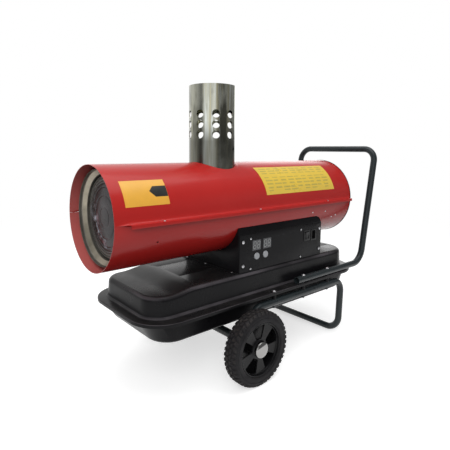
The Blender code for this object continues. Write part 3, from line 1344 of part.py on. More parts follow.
def make_axle(finishes):
    centre = (along(AXLE_PLACE), AXLE_Z)
    hub_end = WHEEL_INNER_Y + WHEEL_WIDTH - HUB_INSET
    end = hub_end + HUB_CAP_DOME * AXLE_END_SHARE
    axle = rod("axle", "Y", centre, AXLE_R, -end, end, MID_STEPS)
    dress(axle, finishes["zinc"])
    for name, side in (("near_axle_nut", -1), ("far_axle_nut", 1)):
        start = side * (hub_end + GAP)
        low, high = sorted((start, start + side * AXLE_NUT_T))
        dress(ring(name, "Y", centre, AXLE_R + GAP, AXLE_NUT_R, low, high, SMALL_STEPS), finishes["zinc"])


# Control box, panel and what it carries

def box_outline(inset):
    """Cross-section of the box, closed at its top by the casing's saddle, as (y, z)."""
    half = BOX_HALF_WIDTH - inset
    low = BOX_BASE_Z + inset
    shoulder = BOX_SHOULDER_Z - inset
    top_z = CASING_AXIS_Z - BOX_TOP_DOWN if inset == 0.0 else shoulder
    drop = CASING_AXIS_Z - top_z
    clear_r = CASING_R + GAP + inset
    start = 180.0 + asin(drop / clear_r) * 180.0 / pi
    half_step = radians(180.0 - (start - 180.0) * 2) / SADDLE_STEPS / 2
    saddle = arc(clear_r / cos(half_step), start, 540.0 - start, SADDLE_STEPS, (0.0, CASING_AXIS_Z))
    return [(half, low), (half, shoulder)] + saddle[::-1] + [(-half, shoulder), (-half, low)]


def panel_screw_spots():
    return [(along(distance), z) for distance in PANEL_SCREW_PLACES for z in (PANEL_SCREW_LOW_Z,
                                                                              PANEL_SCREW_HIGH_Z)]


def panel_screw_holes():
    low, high = -PANEL_Y - OVERRUN, -BOX_HALF_WIDTH + PLATE + OVERRUN
    holes = [rod("hole", "Y", spot, PANEL_SCREW_R + SCREW_PLAY, low, high,
                 TINY_STEPS) for spot in panel_screw_spots()]
    return gather("holes", holes)


def make_box(finishes):
    front, rear = along(BOX_FRONT), along(BOX_REAR)
    box = prism("control_box", box_outline(0.0), "X", front, rear)
    cut(box, prism("hollow", box_outline(PLATE), "X", front + PLATE, rear - PLATE))
    window = block("window", (front + BOX_WINDOW_MARGIN_X, -BOX_HALF_WIDTH - OVERRUN, BOX_WINDOW_LOW_Z),
                   (rear - BOX_WINDOW_MARGIN_X / 2, -BOX_HALF_WIDTH + OVERRUN, BOX_WINDOW_HIGH_Z))
    cut(box, window)
    half = BOX_HALF_WIDTH - PLATE
    join(box, block("flange", (front - BOX_FLANGE, -half, BOX_BASE_Z),
                    (front + PLATE / 2, half, BOX_BASE_Z + PLATE)))
    cut(box, panel_screw_holes())
    cut(box, rod("hole", "Z", (along(FUEL_PLACE), FUEL_SIDE), PICKUP_R + GAP, BOX_BASE_Z - OVERRUN,
                 BOX_BASE_Z + PLATE + OVERRUN, SMALL_STEPS))
    cut(box, rod("hole", "Z", (along(FUEL_PLACE), FUEL_SIDE), HOSE_R + HOSE_PLAY, BOX_WINDOW_LOW_Z + FILTER_H,
                 CASING_AXIS_Z - BOX_TOP_DOWN, SMALL_STEPS))
    dress(box, finishes["black"])


def make_panel(finishes):
    front, rear = along(BOX_FRONT) + PANEL_MARGIN, along(BOX_REAR) - PANEL_MARGIN
    back = -BOX_HALF_WIDTH - GAP
    panel = block("control_panel", (front, -PANEL_Y, BOX_BASE_Z + PANEL_MARGIN), (rear, back, BOX_SHOULDER_Z))
    for distance in DISPLAY_PLACES:
        x = along(distance)
        cut(panel, block("hole", (x - DISPLAY_WIDTH / 2 - GAP, -PANEL_Y - OVERRUN,
                                  DISPLAY_Z - DISPLAY_HEIGHT / 2 - GAP),
                         (x + DISPLAY_WIDTH / 2 + GAP, back + OVERRUN, DISPLAY_Z + DISPLAY_HEIGHT / 2 + GAP)))
    for distance in BUTTON_PLACES:
        cut(panel, rod("hole", "Y", (along(distance), BUTTON_Z), BUTTON_R + GAP * 2, -PANEL_Y - OVERRUN,
                       back + OVERRUN, SMALL_STEPS))
    x, half_w, half_h = along(ROCKER_PLACE), bezel_half(ROCKER_WIDTH), bezel_half(ROCKER_HEIGHT)
    cut(panel, block("hole", (x - half_w - GAP, -PANEL_Y - OVERRUN, ROCKER_Z - half_h - GAP),
                     (x + half_w + GAP, back + OVERRUN, ROCKER_Z + half_h + GAP)))
    x, half_w, half_h = along(INLET_PLACE), INLET_WIDTH / 2 + INLET_WALL, INLET_HEIGHT / 2 + INLET_WALL
    cut(panel, block("hole", (x - half_w - GAP, -PANEL_Y - OVERRUN, INLET_Z - half_h - GAP),
                     (x + half_w + GAP, back + OVERRUN, INLET_Z + half_h + GAP)))
    cut(panel, panel_screw_holes())
    dress(panel, finishes["black"])

    for index, spot in enumerate(panel_screw_spots()):
        item = screw("panel_screw_" + str(index + 1), "Y", spot, -PANEL_Y, -1, PANEL_SCREW_HEAD_R,
                     PANEL_SCREW_HEAD_H, PANEL_SCREW_R, SCREW_DEPTH)
        dress(item, finishes["zinc"])


def bezel_half(size):
    """Half size of the bezel's neck round a rocker of this size."""
    return size / 2 + ROCKER_PLAY + BEZEL_WALL


def board_front_y():
    return -PANEL_Y + PANEL_T + BOARD_BEHIND


def make_board(finishes):
    low = along(DISPLAY_PLACES[0]) - DISPLAY_WIDTH / 2 - DISPLAY_RIM
    high = along(DISPLAY_PLACES[-1]) + DISPLAY_WIDTH / 2 + DISPLAY_RIM
    top = DISPLAY_Z + DISPLAY_HEIGHT / 2 + DISPLAY_RIM
    bottom = BUTTON_Z - BUTTON_R - BOARD_MARGIN
    front = board_front_y()
    board = block("control_board", (low, front, bottom), (high, front + BOARD_T, top))
    stem_end = -PANEL_Y + PANEL_T + GAP + BUTTON_FLANGE_T + BUTTON_STEM
    for distance in BUTTON_PLACES:
        join(board, rod("switch", "Y", (along(distance), BUTTON_Z), BUTTON_STEM_R,
                        stem_end + BUTTON_TRAVEL + GAP,
                        front + BOARD_T / 2, SMALL_STEPS))
    dress(board, finishes["board"])
    back = -PANEL_Y + PANEL_T + GAP
    display = block("digit_display", (low, back, DISPLAY_Z - DISPLAY_HEIGHT / 2 - DISPLAY_RIM),
                    (high, front - GAP, top))
    for distance in DISPLAY_PLACES:
        x = along(distance)
        join(display, block("face", (x - DISPLAY_WIDTH / 2, -PANEL_Y + DISPLAY_RECESS,
                                     DISPLAY_Z - DISPLAY_HEIGHT / 2),
                            (x + DISPLAY_WIDTH / 2, back + GAP * 2, DISPLAY_Z + DISPLAY_HEIGHT / 2)))
    dress(display, finishes["display"])


def make_buttons(finishes):
    for name, distance in zip(("lower_setting_button", "raise_setting_button"), BUTTON_PLACES):
        face = -PANEL_Y - BUTTON_RISE
        collar = -PANEL_Y + PANEL_T + GAP
        profile = [(0.0, face), (BUTTON_R - BUTTON_EDGE, face), (BUTTON_R, face + BUTTON_EDGE),
                   (BUTTON_R, collar),
                   (BUTTON_FLANGE_R, collar), (BUTTON_FLANGE_R, collar + BUTTON_FLANGE_T),
                   (BUTTON_STEM_R, collar + BUTTON_FLANGE_T),
                   (BUTTON_STEM_R, collar + BUTTON_FLANGE_T + BUTTON_STEM),
                   (0.0, collar + BUTTON_FLANGE_T + BUTTON_STEM)]
        button = turned(name, profile, "Y", (along(distance), BUTTON_Z), SMALL_STEPS)
        dress(button, finishes["key"], (along(distance), face, BUTTON_Z))


def make_rocker(finishes):
    x = along(ROCKER_PLACE)
    rim_y = -PANEL_Y - GAP
    neck_w, neck_h = bezel_half(ROCKER_WIDTH), bezel_half(ROCKER_HEIGHT)
    bezel = block("rocker_bezel", (x - neck_w - BEZEL_RIM, rim_y - BEZEL_RISE, ROCKER_Z - neck_h - BEZEL_RIM),
                  (x + neck_w + BEZEL_RIM, rim_y, ROCKER_Z + neck_h + BEZEL_RIM))
    join(bezel, block("neck", (x - neck_w, rim_y - BEZEL_RISE / 2, ROCKER_Z - neck_h),
                      (x + neck_w, rim_y + BEZEL_DEPTH, ROCKER_Z + neck_h)))
    inner_w, inner_h = neck_w - BEZEL_WALL, neck_h - BEZEL_WALL
    cut(bezel, block("hollow", (x - inner_w, rim_y - OVERRUN, ROCKER_Z - inner_h),
                     (x + inner_w, rim_y + BEZEL_DEPTH - BEZEL_WALL, ROCKER_Z + inner_h)))
    pivot = (x, -PANEL_Y + ROCKER_PIVOT_BEHIND, ROCKER_Z)
    cut(bezel, rod("pin_holes", "X", (pivot[1], pivot[2]), running_bore(ROCKER_PIN_R, SMALL_STEPS),
                   x - neck_w - BEZEL_RIM / 2, x + neck_w + BEZEL_RIM / 2, SMALL_STEPS))
    dress(bezel, finishes["plastic"])

    half_h = ROCKER_HEIGHT / 2
    lift = half_h * tan(radians(ROCKER_TILT))
    face = pivot[1] - ROCKER_PIVOT_BEHIND - ROCKER_FACE_RISE
    back = pivot[1] + ROCKER_BODY_DEPTH
    outline = [(face, ROCKER_Z), (face - lift, ROCKER_Z + half_h), (pivot[1], ROCKER_Z + half_h),
               (back, ROCKER_Z + half_h * ROCKER_BACK_SHARE), (back, ROCKER_Z - half_h * ROCKER_BACK_SHARE),
               (pivot[1], ROCKER_Z - half_h), (face - lift, ROCKER_Z - half_h)]
    rocker = prism("power_rocker", outline, "X", x - ROCKER_WIDTH / 2, x + ROCKER_WIDTH / 2)
    join(rocker, rod("pin", "X", (pivot[1], pivot[2]), ROCKER_PIN_R, x - neck_w, x + neck_w, SMALL_STEPS))
    turn(rocker, about("X", ROCKER_TILT, pivot))
    dress(rocker, finishes["gloss"], pivot)


def make_inlet(finishes):
    x = along(INLET_PLACE)
    rim_y = -PANEL_Y - GAP
    half_w, half_h = INLET_WIDTH / 2 + INLET_WALL, INLET_HEIGHT / 2 + INLET_WALL
    inlet = block("power_inlet", (x - half_w - INLET_RIM, rim_y - INLET_RISE, INLET_Z - half_h - INLET_RIM),
                  (x + half_w + INLET_RIM, rim_y, INLET_Z + half_h + INLET_RIM))
    join(inlet, block("neck", (x - half_w, rim_y - INLET_RISE / 2, INLET_Z - half_h),
                      (x + half_w, rim_y + INLET_DEPTH, INLET_Z + half_h)))
    back = rim_y + INLET_DEPTH - INLET_BACK_T
    cut(inlet, block("hollow", (x - INLET_WIDTH / 2, rim_y - OVERRUN, INLET_Z - INLET_HEIGHT / 2),
                     (x + INLET_WIDTH / 2, back, INLET_Z + INLET_HEIGHT / 2)))
    for index in (-1, 0, 1):
        z = INLET_Z + index * INLET_PIN_PITCH
        join(inlet, block("pin", (x - INLET_PIN_W / 2, back - INLET_PIN_LENGTH, z - INLET_PIN_H / 2),
                          (x + INLET_PIN_W / 2, back + INLET_BACK_T / 2, z + INLET_PIN_H / 2)))
    dress(inlet, finishes["plastic"])


def make_ignition(finishes):
    x, y = along(IGNITION_PLACE), IGNITION_SIDE
    item = block("ignition_transformer", (x - IGNITION_LENGTH / 2, y - IGNITION_WIDTH / 2, IGNITION_LOW_Z),
                 (x + IGNITION_LENGTH / 2, y + IGNITION_WIDTH / 2, IGNITION_TOP_Z))
    dress(item, finishes["plastic"])


# Fuel line

def make_fuel_line(finishes):
    centre = (along(FUEL_PLACE), FUEL_SIDE)
    floor = BOX_BASE_Z + PLATE + GAP
    bottom = TRAY_BOTTOM_Z + PLATE + PICKUP_FLOOR_GAP
    top = floor + PICKUP_COLLAR_T + PICKUP_RISE
    profile = [(0.0, bottom), (STRAINER_R, bottom), (STRAINER_R, bottom + STRAINER_H),
               (PICKUP_R, bottom + STRAINER_H),
               (PICKUP_R, floor), (PICKUP_COLLAR_R, floor), (PICKUP_COLLAR_R, floor + PICKUP_COLLAR_T),
               (PICKUP_R, floor + PICKUP_COLLAR_T), (PICKUP_R, top), (0.0, top)]
    dress(turned("fuel_pickup", profile, "Z", centre, SMALL_STEPS), finishes["brass"])
    low = top + GAP
    bowl = low + FILTER_SPIGOT
    profile = [(0.0, low), (PICKUP_R, low), (PICKUP_R, bowl), (FILTER_R, bowl), (FILTER_R, bowl + FILTER_H),
               (PICKUP_R, bowl + FILTER_H), (PICKUP_R, bowl + FILTER_H + FILTER_SPIGOT),
               (0.0, bowl + FILTER_H + FILTER_SPIGOT)]
    dress(turned("fuel_filter", profile, "Z", centre, SMALL_STEPS), finishes["nylon"])
    start = bowl + FILTER_H + FILTER_SPIGOT + GAP
    corners = [(centre[0], centre[1], start), (centre[0], centre[1], CASING_AXIS_Z),
               (centre[0], PUMP_R + GAP, CASING_AXIS_Z)]
    path = rounded_path(corners, (HOSE_BEND,), BEND_STEPS)
    dress(bent_tube("fuel_hose", path, HOSE_R, 3), finishes["hose"])


def main():
    clear_scene()
    finishes = make_finishes()
    make_casing(finishes)
    make_flue(finishes)
    make_drum(finishes)
    make_chamber(finishes)
    make_burner(finishes)
    make_motor(finishes)
    make_pump(finishes)
    make_rotor(finishes)
    make_guard(finishes)
    make_tank(finishes)
    make_filler(finishes)
    make_handle(finishes)
    make_frame(finishes)
    make_frame_bolts(finishes)
    make_wheel("near", -1, finishes)
    make_wheel("far", 1, finishes)
    make_axle(finishes)
    make_box(finishes)
    make_panel(finishes)
    make_board(finishes)
    make_buttons(finishes)
    make_rocker(finishes)
    make_inlet(finishes)
    make_ignition(finishes)
    make_fuel_line(finishes)


main()
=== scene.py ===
"""Looks of an indirect fired heater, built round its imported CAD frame."""

from math import asin, atan2, cos, pi, radians, sin, sqrt, tan

import bmesh
import bpy
from bpy.props import FloatProperty, FloatVectorProperty, IntProperty, PointerProperty
from mathutils import Matrix, Vector


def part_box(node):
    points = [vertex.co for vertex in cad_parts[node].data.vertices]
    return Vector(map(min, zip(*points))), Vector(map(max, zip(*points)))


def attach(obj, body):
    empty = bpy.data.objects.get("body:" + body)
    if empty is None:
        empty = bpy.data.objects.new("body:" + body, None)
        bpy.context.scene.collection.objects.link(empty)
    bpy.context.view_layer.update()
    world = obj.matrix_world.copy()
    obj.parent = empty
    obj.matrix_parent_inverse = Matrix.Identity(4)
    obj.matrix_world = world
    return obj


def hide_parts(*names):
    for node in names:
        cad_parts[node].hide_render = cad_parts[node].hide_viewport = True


bl_info = {
    "name": "Indirect fired heater",
    "version": (1, 0, 0),
    "blender": (4, 5, 0),
    "location": "View3D > Sidebar > Heater",
    "description": "Builds the heater's visible pieces, finishes and stage round its CAD frame",
    "category": "Add Mesh",
}

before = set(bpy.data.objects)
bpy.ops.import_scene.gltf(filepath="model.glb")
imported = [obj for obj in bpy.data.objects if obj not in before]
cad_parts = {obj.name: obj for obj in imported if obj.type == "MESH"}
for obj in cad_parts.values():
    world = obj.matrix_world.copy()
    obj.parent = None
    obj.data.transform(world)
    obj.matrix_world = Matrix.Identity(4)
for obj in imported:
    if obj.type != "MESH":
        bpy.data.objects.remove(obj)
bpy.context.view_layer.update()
RIM_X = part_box("upper_casing")[0].x

# Gap between pieces that stand on each other
SEAT_GAP = 0.0003
# How far a cutter goes past the faces that it cuts
CUT_PAST = 0.004
SIDES = (("near", -1), ("far", 1))


def along(distance):
    """X of a place given as its distance from the outlet rim."""
    return RIM_X + distance


# Settings

def length(name, description, default):
    return FloatProperty(name=name, description=description, default=default, unit="LENGTH", precision=5)


def degrees(name, description, default):
    return FloatProperty(name=name, description=description, default=radians(default), unit="ROTATION")


def number(name, description, default):
    return FloatProperty(name=name, description=description, default=default)


def count(name, description, default):
    return IntProperty(name=name, description=description, default=default, min=1)


def places(name, description, default):
    return FloatVectorProperty(name=name, description=description, default=default, size=len(default),
                               unit="LENGTH", precision=5)


def colour(name, description, default):
    return FloatVectorProperty(name=name, description=description, default=default, size=3, subtype="COLOR",
                               min=0.0, max=1.0)


class HeaterCasing(bpy.types.PropertyGroup):
    radius: length("Radius", "Outer radius of the casing", 0.150)
    length: length("Length", "Length of the casing from rim to rim", 1.033)
    axis_z: length("Axis height", "Height of the casing's axis over the floor", 0.527)
    sheet: length("Sheet", "Thickness of the casing's steel sheet", 0.0012)
    seam: length("Seam gap", "Gap between the two halves at their seam", 0.0003)
    flange_start: length("Flange start", "Distance from the rim to the seam flange", 0.039)
    flange_end: length("Flange end", "Distance from the rim to the end of the seam flange", 1.022)
    flange_width: length("Flange width", "How far the seam flange stands out", 0.017)
    flange_lip: length("Flange lip", "How far the flange's edge folds down", 0.009)
    flare: length("Flare", "Radius of the bend into the flange", 0.008)
    screw_places: places("Screws", "Distances of the seam screws from the rim", (0.140, 0.504, 0.869))
    screw_out: length("Screw offset", "How far outside the casing the seam screws sit", 0.010)
    screw_radius: length("Screw radius", "Radius of a seam screw's head", 0.0036)
    hole_radius: length("Side hole radius", "Radius of the small hole in the lower half", 0.003)
    hole_place: length("Side hole place", "Distance of the small side hole from the rim", 0.131)
    hole_angle: degrees("Side hole angle", "How far below the seam the side hole is", 23.0)
    collar: length("Collar", "How far the sheet is drawn up round the flue", 0.0016)
    collar_reach: length("Collar reach", "Width of the drawn ring round the flue", 0.012)


class HeaterFlue(bpy.types.PropertyGroup):
    place: length("Place", "Distance of the flue's axis from the rim", 0.431)
    radius: length("Radius", "Outer radius of the flue", 0.077)
    top_z: length("Top height", "Height of the flue's top over the floor", 0.925)
    plate: length("Plate", "Thickness of the flue's sheet", 0.0015)
    clearance: length("Clearance", "Gap between the flue and the casing's hole", 0.0015)
    hole_radius: length("Hole radius", "Radius of a draught hole", 0.013)
    columns: count("Hole columns", "Draught holes in one row", 9)
    rows: count("Hole rows", "Rows of draught holes", 3)
    pitch: length("Row pitch", "Distance between rows of holes", 0.0325)
    first_down: length("First row", "Distance of the first row below the flue's top", 0.093)
    pin_down: length("Pin hole", "Distance of the small hole below the flue's top", 0.172)
    pin_radius: length("Pin hole radius", "Radius of the small hole", 0.004)
    pin_angle: degrees("Pin hole angle", "Place of the small hole round the flue", -60.0)


class HeaterDrum(bpy.types.PropertyGroup):
    radius: length("Radius", "Outer radius of the heat exchanger drum", 0.138)
    inner: length("Inner radius", "Inner radius of the drum", 0.123)
    front: length("Front", "Distance of the drum's front from the rim", 0.022)
    slope: length("Front slope", "How far the drum's front slopes back", 0.022)
    lip: length("Lip", "Width of the drum's outer lip", 0.003)
    lip_depth: length("Lip depth", "How far the ring inside the lip is set back", 0.0125)
    rear: length("Rear", "Distance of the drum's rear from the rim", 0.640)
    plate: length("Plate", "Thickness of the drum's sheet", 0.0015)
    chamber_radius: length("Chamber radius", "Outer radius of the combustion chamber", 0.117)
    chamber_front: length("Chamber front", "Distance of the chamber's crown from the rim", 0.042)
    chamber_dome: length("Chamber dome", "Depth of the chamber's domed front", 0.006)
    chamber_rear: length("Chamber rear", "Distance of the chamber's rear from the rim", 0.665)
    chamber_mouth: length("Chamber mouth", "Radius of the chamber's rear opening", 0.052)
    chamber_sheet: length("Chamber sheet", "Thickness of the chamber's wall", 0.002)
    groove_places: places("Grooves", "Radii of the rings pressed in the chamber's front",
                          (0.030, 0.062, 0.086, 0.097, 0.105, 0.112))
    groove_width: length("Groove width", "Half width of a pressed ring", 0.0028)
    groove_depth: length("Groove depth", "Depth of a pressed ring", 0.0009)
    spacers: places("Spacers", "Distances of the spacer blocks from the rim", (0.110, 0.600))
    spacer_length: length("Spacer length", "Length of a spacer block", 0.020)


class HeaterGuard(bpy.types.PropertyGroup):
    radius: length("Radius", "Outer radius of the rear guard", 0.1512)
    inner: length("Inner radius", "Inner radius of the guard's rim", 0.1455)
    core: length("Core", "Radius of the guard's middle disc", 0.024)
    wire: length("Wire", "Radius of the guard's wire", 0.0013)
    rings: count("Rings", "Wire rings between the rim and the core", 3)
    spokes: count("Spokes", "Wire spokes", 6)


class HeaterTank(bpy.types.PropertyGroup):
    front: length("Front", "Distance of the tank's upper front from the rim", 0.097)
    rear: length("Rear", "Distance of the tank's upper rear from the rim", 1.031)
    half_width: length("Half width", "Half width of the tank's upper part", 0.158)
    front_corner: length("Front corner", "Radius of the front corners", 0.066)
    rear_corner: length("Rear corner", "Radius of the rear corners", 0.092)
    top_z: length("Top height", "Height of the tank's top over the floor", 0.3245)
    drop: length("Front drop", "How far the top dips at the outlet end", 0.0098)
    ramp_start: length("Ramp start", "Distance of the ramp's start from the rim", 0.165)
    ramp_end: length("Ramp end", "Distance of the ramp's end from the rim", 0.250)
    edge: length("Top edge", "Radius of the tank's upper edge", 0.016)
    draft: length("Draft", "How far the walls lean in", 0.003)
    sheet: length("Sheet", "Thickness of the tank's sheet", 0.0015)
    brim_z: length("Brim height", "Height of the brim's face", 0.253)
    brim_front: length("Brim front", "How far the brim stands out at the front", 0.032)
    brim_rear: length("Brim rear", "How far the brim stands out at the rear", 0.035)
    brim_side: length("Brim side", "How far the brim stands out at the sides", 0.040)
    brim_lip: length("Brim lip", "How far the brim's edge folds down", 0.010)
    fold: length("Fold radius", "Radius of the brim's fold", 0.003)
    root: length("Root radius", "Radius between the brim and the wall", 0.009)
    bottom_z: length("Bottom height", "Height of the tank's bottom", 0.178)
    inset: length("Tray inset", "How far the lower tray starts inside the brim", 0.014)
    tray_top: length("Tray top", "Half width of the lower tray at its top", 0.1690)
    tray_bottom: length("Tray bottom", "Half width of the lower tray at its bottom", 0.1650)
    tray_front: length("Tray front", "Distance of the tray's lower front from the rim", 0.124)
    tray_rear: length("Tray rear", "Distance of the tray's lower rear from the rim", 1.012)
    tray_edge: length("Tray edge", "Radius of the tray's lower edge", 0.012)
    groove_depth: length("Groove depth", "Depth of the grooves in the top", 0.0008)
    groove_half: length("Groove half width", "Half width of a groove", 0.006)
    groove_start: length("Groove start", "Distance of the long grooves from the rim", 0.266)
    groove_length: length("Groove length", "Length of the long grooves", 0.104)
    groove_sides: places("Groove sides", "Side places of the long grooves", (0.092, -0.042))
    rear_groove: places("Rear groove", "Start, length and side of the rear groove", (0.952, 0.050, -0.070))
    cap_place: length("Cap place", "Distance of the filler from the rim", 0.930)
    cap_side: length("Cap side", "Side place of the filler", 0.092)


class HeaterTubes(bpy.types.PropertyGroup):
    radius: length("Radius", "Outer radius of the handle and frame tubes", 0.0125)
    wall: length("Wall", "Wall of the tubes", 0.0015)
    side_y: length("Side", "Distance of the side tubes from the middle", 0.188)
    start: length("Handle start", "Distance of the handle's open ends from the rim", 0.662)
    foot: length("Handle foot", "Distance of the handle's lower bend from the rim", 1.0667)
    top: length("Handle top", "Distance of the handle's bar from the rim", 1.1443)
    top_z: length("Handle height", "Height of the handle's bar", 0.7255)
    foot_bend: length("Lower bend", "Bend radius at the handle's foot", 0.062)
    top_bend: length("Upper bend", "Bend radius at the handle's bar", 0.050)
    rail_z: length("Rail height", "Height of the frame's rails", 0.2165)
    rail_front: length("Rail front", "Distance of the rail's front bend from the rim", 0.463)
    leg: length("Leg", "Distance of the rail's rear bend from the rim", 0.934)
    leg_foot: length("Leg foot", "Distance of the leg's foot from the rim", 0.926)
    bends: places("Bends", "Bend radii of the rail's front and rear and of the foot", (0.034, 0.046, 0.052))
    axle_tube: length("Axle tube", "Radius of the tube round the axle", 0.014)
    axle_half: length("Axle tube half", "Half length of the axle tube", 0.2117)
    sleeve: length("Sleeve", "Radius of the sleeves under the brim", 0.0078)
    nut: length("Nut", "Radius of the welded nuts", 0.0072)
    nut_height: length("Nut height", "Height of the welded nuts", 0.0065)
    bolt_places: places("Bolts", "Distances of the bolts from the rim", (0.546, 0.698, 0.838))
    bolt_radius: length("Bolt radius", "Radius of a bolt's head", 0.0072)
    bolt_height: length("Bolt height", "Height of a bolt's head", 0.0045)
    bolt_shank: length("Bolt shank", "Radius of a bolt's shank", 0.004)


class HeaterWheels(bpy.types.PropertyGroup):
    radius: length("Radius", "Outer radius of a wheel", 0.117)
    place: length("Place", "Distance of the axle from the rim", 0.418)
    inner_y: length("Inner face", "Distance of a wheel's inner face from the middle", 0.212)
    width: length("Width", "Width of a wheel", 0.0503)
    tyre_inner: length("Tyre inner radius", "Radius where the tyre meets the rim", 0.084)
    tread_depth: length("Tread depth", "Height of a tread block", 0.0032)
    blocks: count("Tread blocks", "Tread blocks in one row", 43)
    rows: count("Tread rows", "Rows of tread blocks", 4)
    lip: length("Rim lip", "Thickness of the rim's lip", 0.004)
    lip_depth: length("Rim lip depth", "How far the lip sits inside the tyre", 0.003)
    web: length("Web", "Thickness of the rim's web", 0.005)
    web_inset: length("Web inset", "Depth of the web inside the wheel's face", 0.012)
    back_inset: length("Back inset", "Depth of the rim's back inside the wheel's inner face", 0.010)
    back: length("Back", "Thickness of the rim's back", 0.003)
    hub: length("Hub radius", "Radius of the rim's hub", 0.024)
    bore: length("Bore", "Radius of the rim's bore", 0.0102)
    hub_inset: length("Hub inset", "How far the hub's end is inside the wheel's face", 0.004)
    windows: count("Windows", "Windows in the rim", 5)
    window_start: degrees("Window start", "Angle of the first window", 95.0)
    window_inner: length("Window inner radius", "Inner end of a window", 0.031)
    window_outer: length("Window outer radius", "Outer end of a window", 0.076)
    window_narrow: length("Window narrow half", "Half width of a window at its inner end", 0.011)
    window_wide: length("Window wide half", "Half width of a window at its outer end", 0.027)
    cap_radius: length("Cap radius", "Radius of the hub cap", 0.026)
    cap_dome: length("Cap dome", "Height of the hub cap's dome", 0.010)
    cap_sheet: length("Cap sheet", "Thickness of the hub cap", 0.0012)


class HeaterControls(bpy.types.PropertyGroup):
    front: length("Front", "Distance of the box's front from the rim", 0.424)
    rear: length("Rear", "Distance of the box's rear from the rim", 0.849)
    half_width: length("Half width", "Half width of the control box", 0.1462)
    shoulder_z: length("Shoulder height", "Height of the box's shoulder", 0.449)
    top_down: length("Saddle height", "How far below the casing's axis the saddle ends", 0.054)
    plate: length("Plate", "Thickness of the box's sheet", 0.0015)
    corner_reach: length("Corner reach", "Length of the rounded rear corner of the box's upper edge", 0.029)
    corner_drop: length("Corner drop", "Height of the rounded rear corner", 0.0235)
    flange: length("Base flange", "Length of the base flange at the front", 0.014)
    face_y: length("Panel face", "Distance of the panel's face from the middle", 0.1480)
    screw_places: places("Panel screws", "Distances of the large panel screws from the rim", (0.440, 0.837))
    screw_heights: places("Panel screw heights", "Heights of the large panel screws", (0.348, 0.4262))
    screw_radius: length("Panel screw radius", "Radius of a large panel screw's head", 0.0058)
    screw_height: length("Panel screw height", "Height of a large panel screw's head", 0.0034)
    small_places: places("Small screws", "Distances of the small screws from the rim", (0.474, 0.728))
    small_heights: places("Small screw heights", "Heights of the small screws", (0.3338, 0.4335))
    small_radius: length("Small screw radius", "Radius of a small screw's head", 0.0038)
    small_height: length("Small screw height", "Height of a small screw's head", 0.0022)
    base_sides: places("Base screws", "Side places of the screws in the base flange", (-0.122, 0.014, 0.122))
    display_places: places("Displays", "Distances of the displays from the rim", (0.5025, 0.5525))
    display_z: length("Display height", "Height of the displays' middle", 0.4090)
    display_size: places("Display size", "Width and height of a display", (0.039, 0.034))
    display_recess: length("Display recess", "Depth of a display inside the panel", 0.0006)
    button_places: places("Buttons", "Distances of the buttons from the rim", (0.5025, 0.5435))
    button_z: length("Button height", "Height of the buttons' middle", 0.3720)
    button_radius: length("Button radius", "Radius of a button", 0.0115)
    rocker_place: length("Rocker place", "Distance of the power rocker from the rim", 0.7625)
    rocker_z: length("Rocker height", "Height of the rocker's middle", 0.4080)
    rocker_size: places("Rocker size", "Width and height of the rocker", (0.022, 0.027))
    rocker_tilt: degrees("Rocker tilt", "How far the rocker leans at rest", 8.0)
    inlet_place: length("Inlet place", "Distance of the power inlet from the rim", 0.8020)
    inlet_z: length("Inlet height", "Height of the inlet's middle", 0.4060)
    inlet_size: places("Inlet size", "Width and height of the inlet's socket", (0.0200, 0.0320))


class HeaterLabels(bpy.types.PropertyGroup):
    thickness: length("Thickness", "Thickness of a label", 0.00018)
    arrow_span: places("Arrow label", "Start and end of the arrow label from the rim", (0.035, 0.168))
    arrow_low: degrees("Arrow label low", "Lower edge of the arrow label above the seam", 17.1)
    arrow_high: degrees("Arrow label high", "Upper edge of the arrow label above the seam", 46.3)
    plain_span: places("Wide label", "Start and end of the wide label from the rim", (0.551, 0.929))
    plain_low: degrees("Wide label low", "Lower edge of the wide label above the seam", 16.7)
    plain_high: degrees("Wide label high", "Upper edge of the wide label above the seam", 60.9)


class HeaterColours(bpy.types.PropertyGroup):
    red: colour("Red enamel", "Casing", (0.400, 0.017, 0.015))
    black: colour("Black enamel", "Tank, box and panel", (0.0058, 0.0056, 0.0064))
    tube: colour("Dark grey enamel", "Handle and frame", (0.0150, 0.0200, 0.0220))
    steel: colour("Polished steel", "Flue", (0.68, 0.69, 0.60))
    dull: colour("Dull steel", "Heat exchanger", (0.34, 0.33, 0.31))
    warm: colour("Warm steel", "Ring round the combustion chamber", (0.36, 0.325, 0.255))
    tinted: colour("Tinted steel", "Combustion chamber", (0.013, 0.011, 0.012))
    zinc: colour("Zinc plate", "Screws, bolts and axle", (0.62, 0.62, 0.64))
    chrome: colour("Chrome", "Hub caps", (0.30, 0.295, 0.29))
    rubber: colour("Tyre rubber", "Tyres", (0.0098, 0.0092, 0.0102))
    plastic: colour("Black plastic", "Cap, inlet and bezel", (0.0060, 0.0060, 0.0066))
    key: colour("Grey plastic", "Buttons", (0.36, 0.37, 0.39))
    display: colour("Display", "Faces of the displays", (0.085, 0.087, 0.092))
    digit: colour("Digit", "Segments of the displays", (0.27, 0.28, 0.28))
    amber: colour("Arrow label", "Ground of the arrow label", (0.780, 0.400, 0.045))
    yellow: colour("Wide label", "Ground of the wide label", (0.740, 0.520, 0.060))
    olive: colour("Label blocks", "Plain blocks on the wide label", (0.430, 0.330, 0.060))


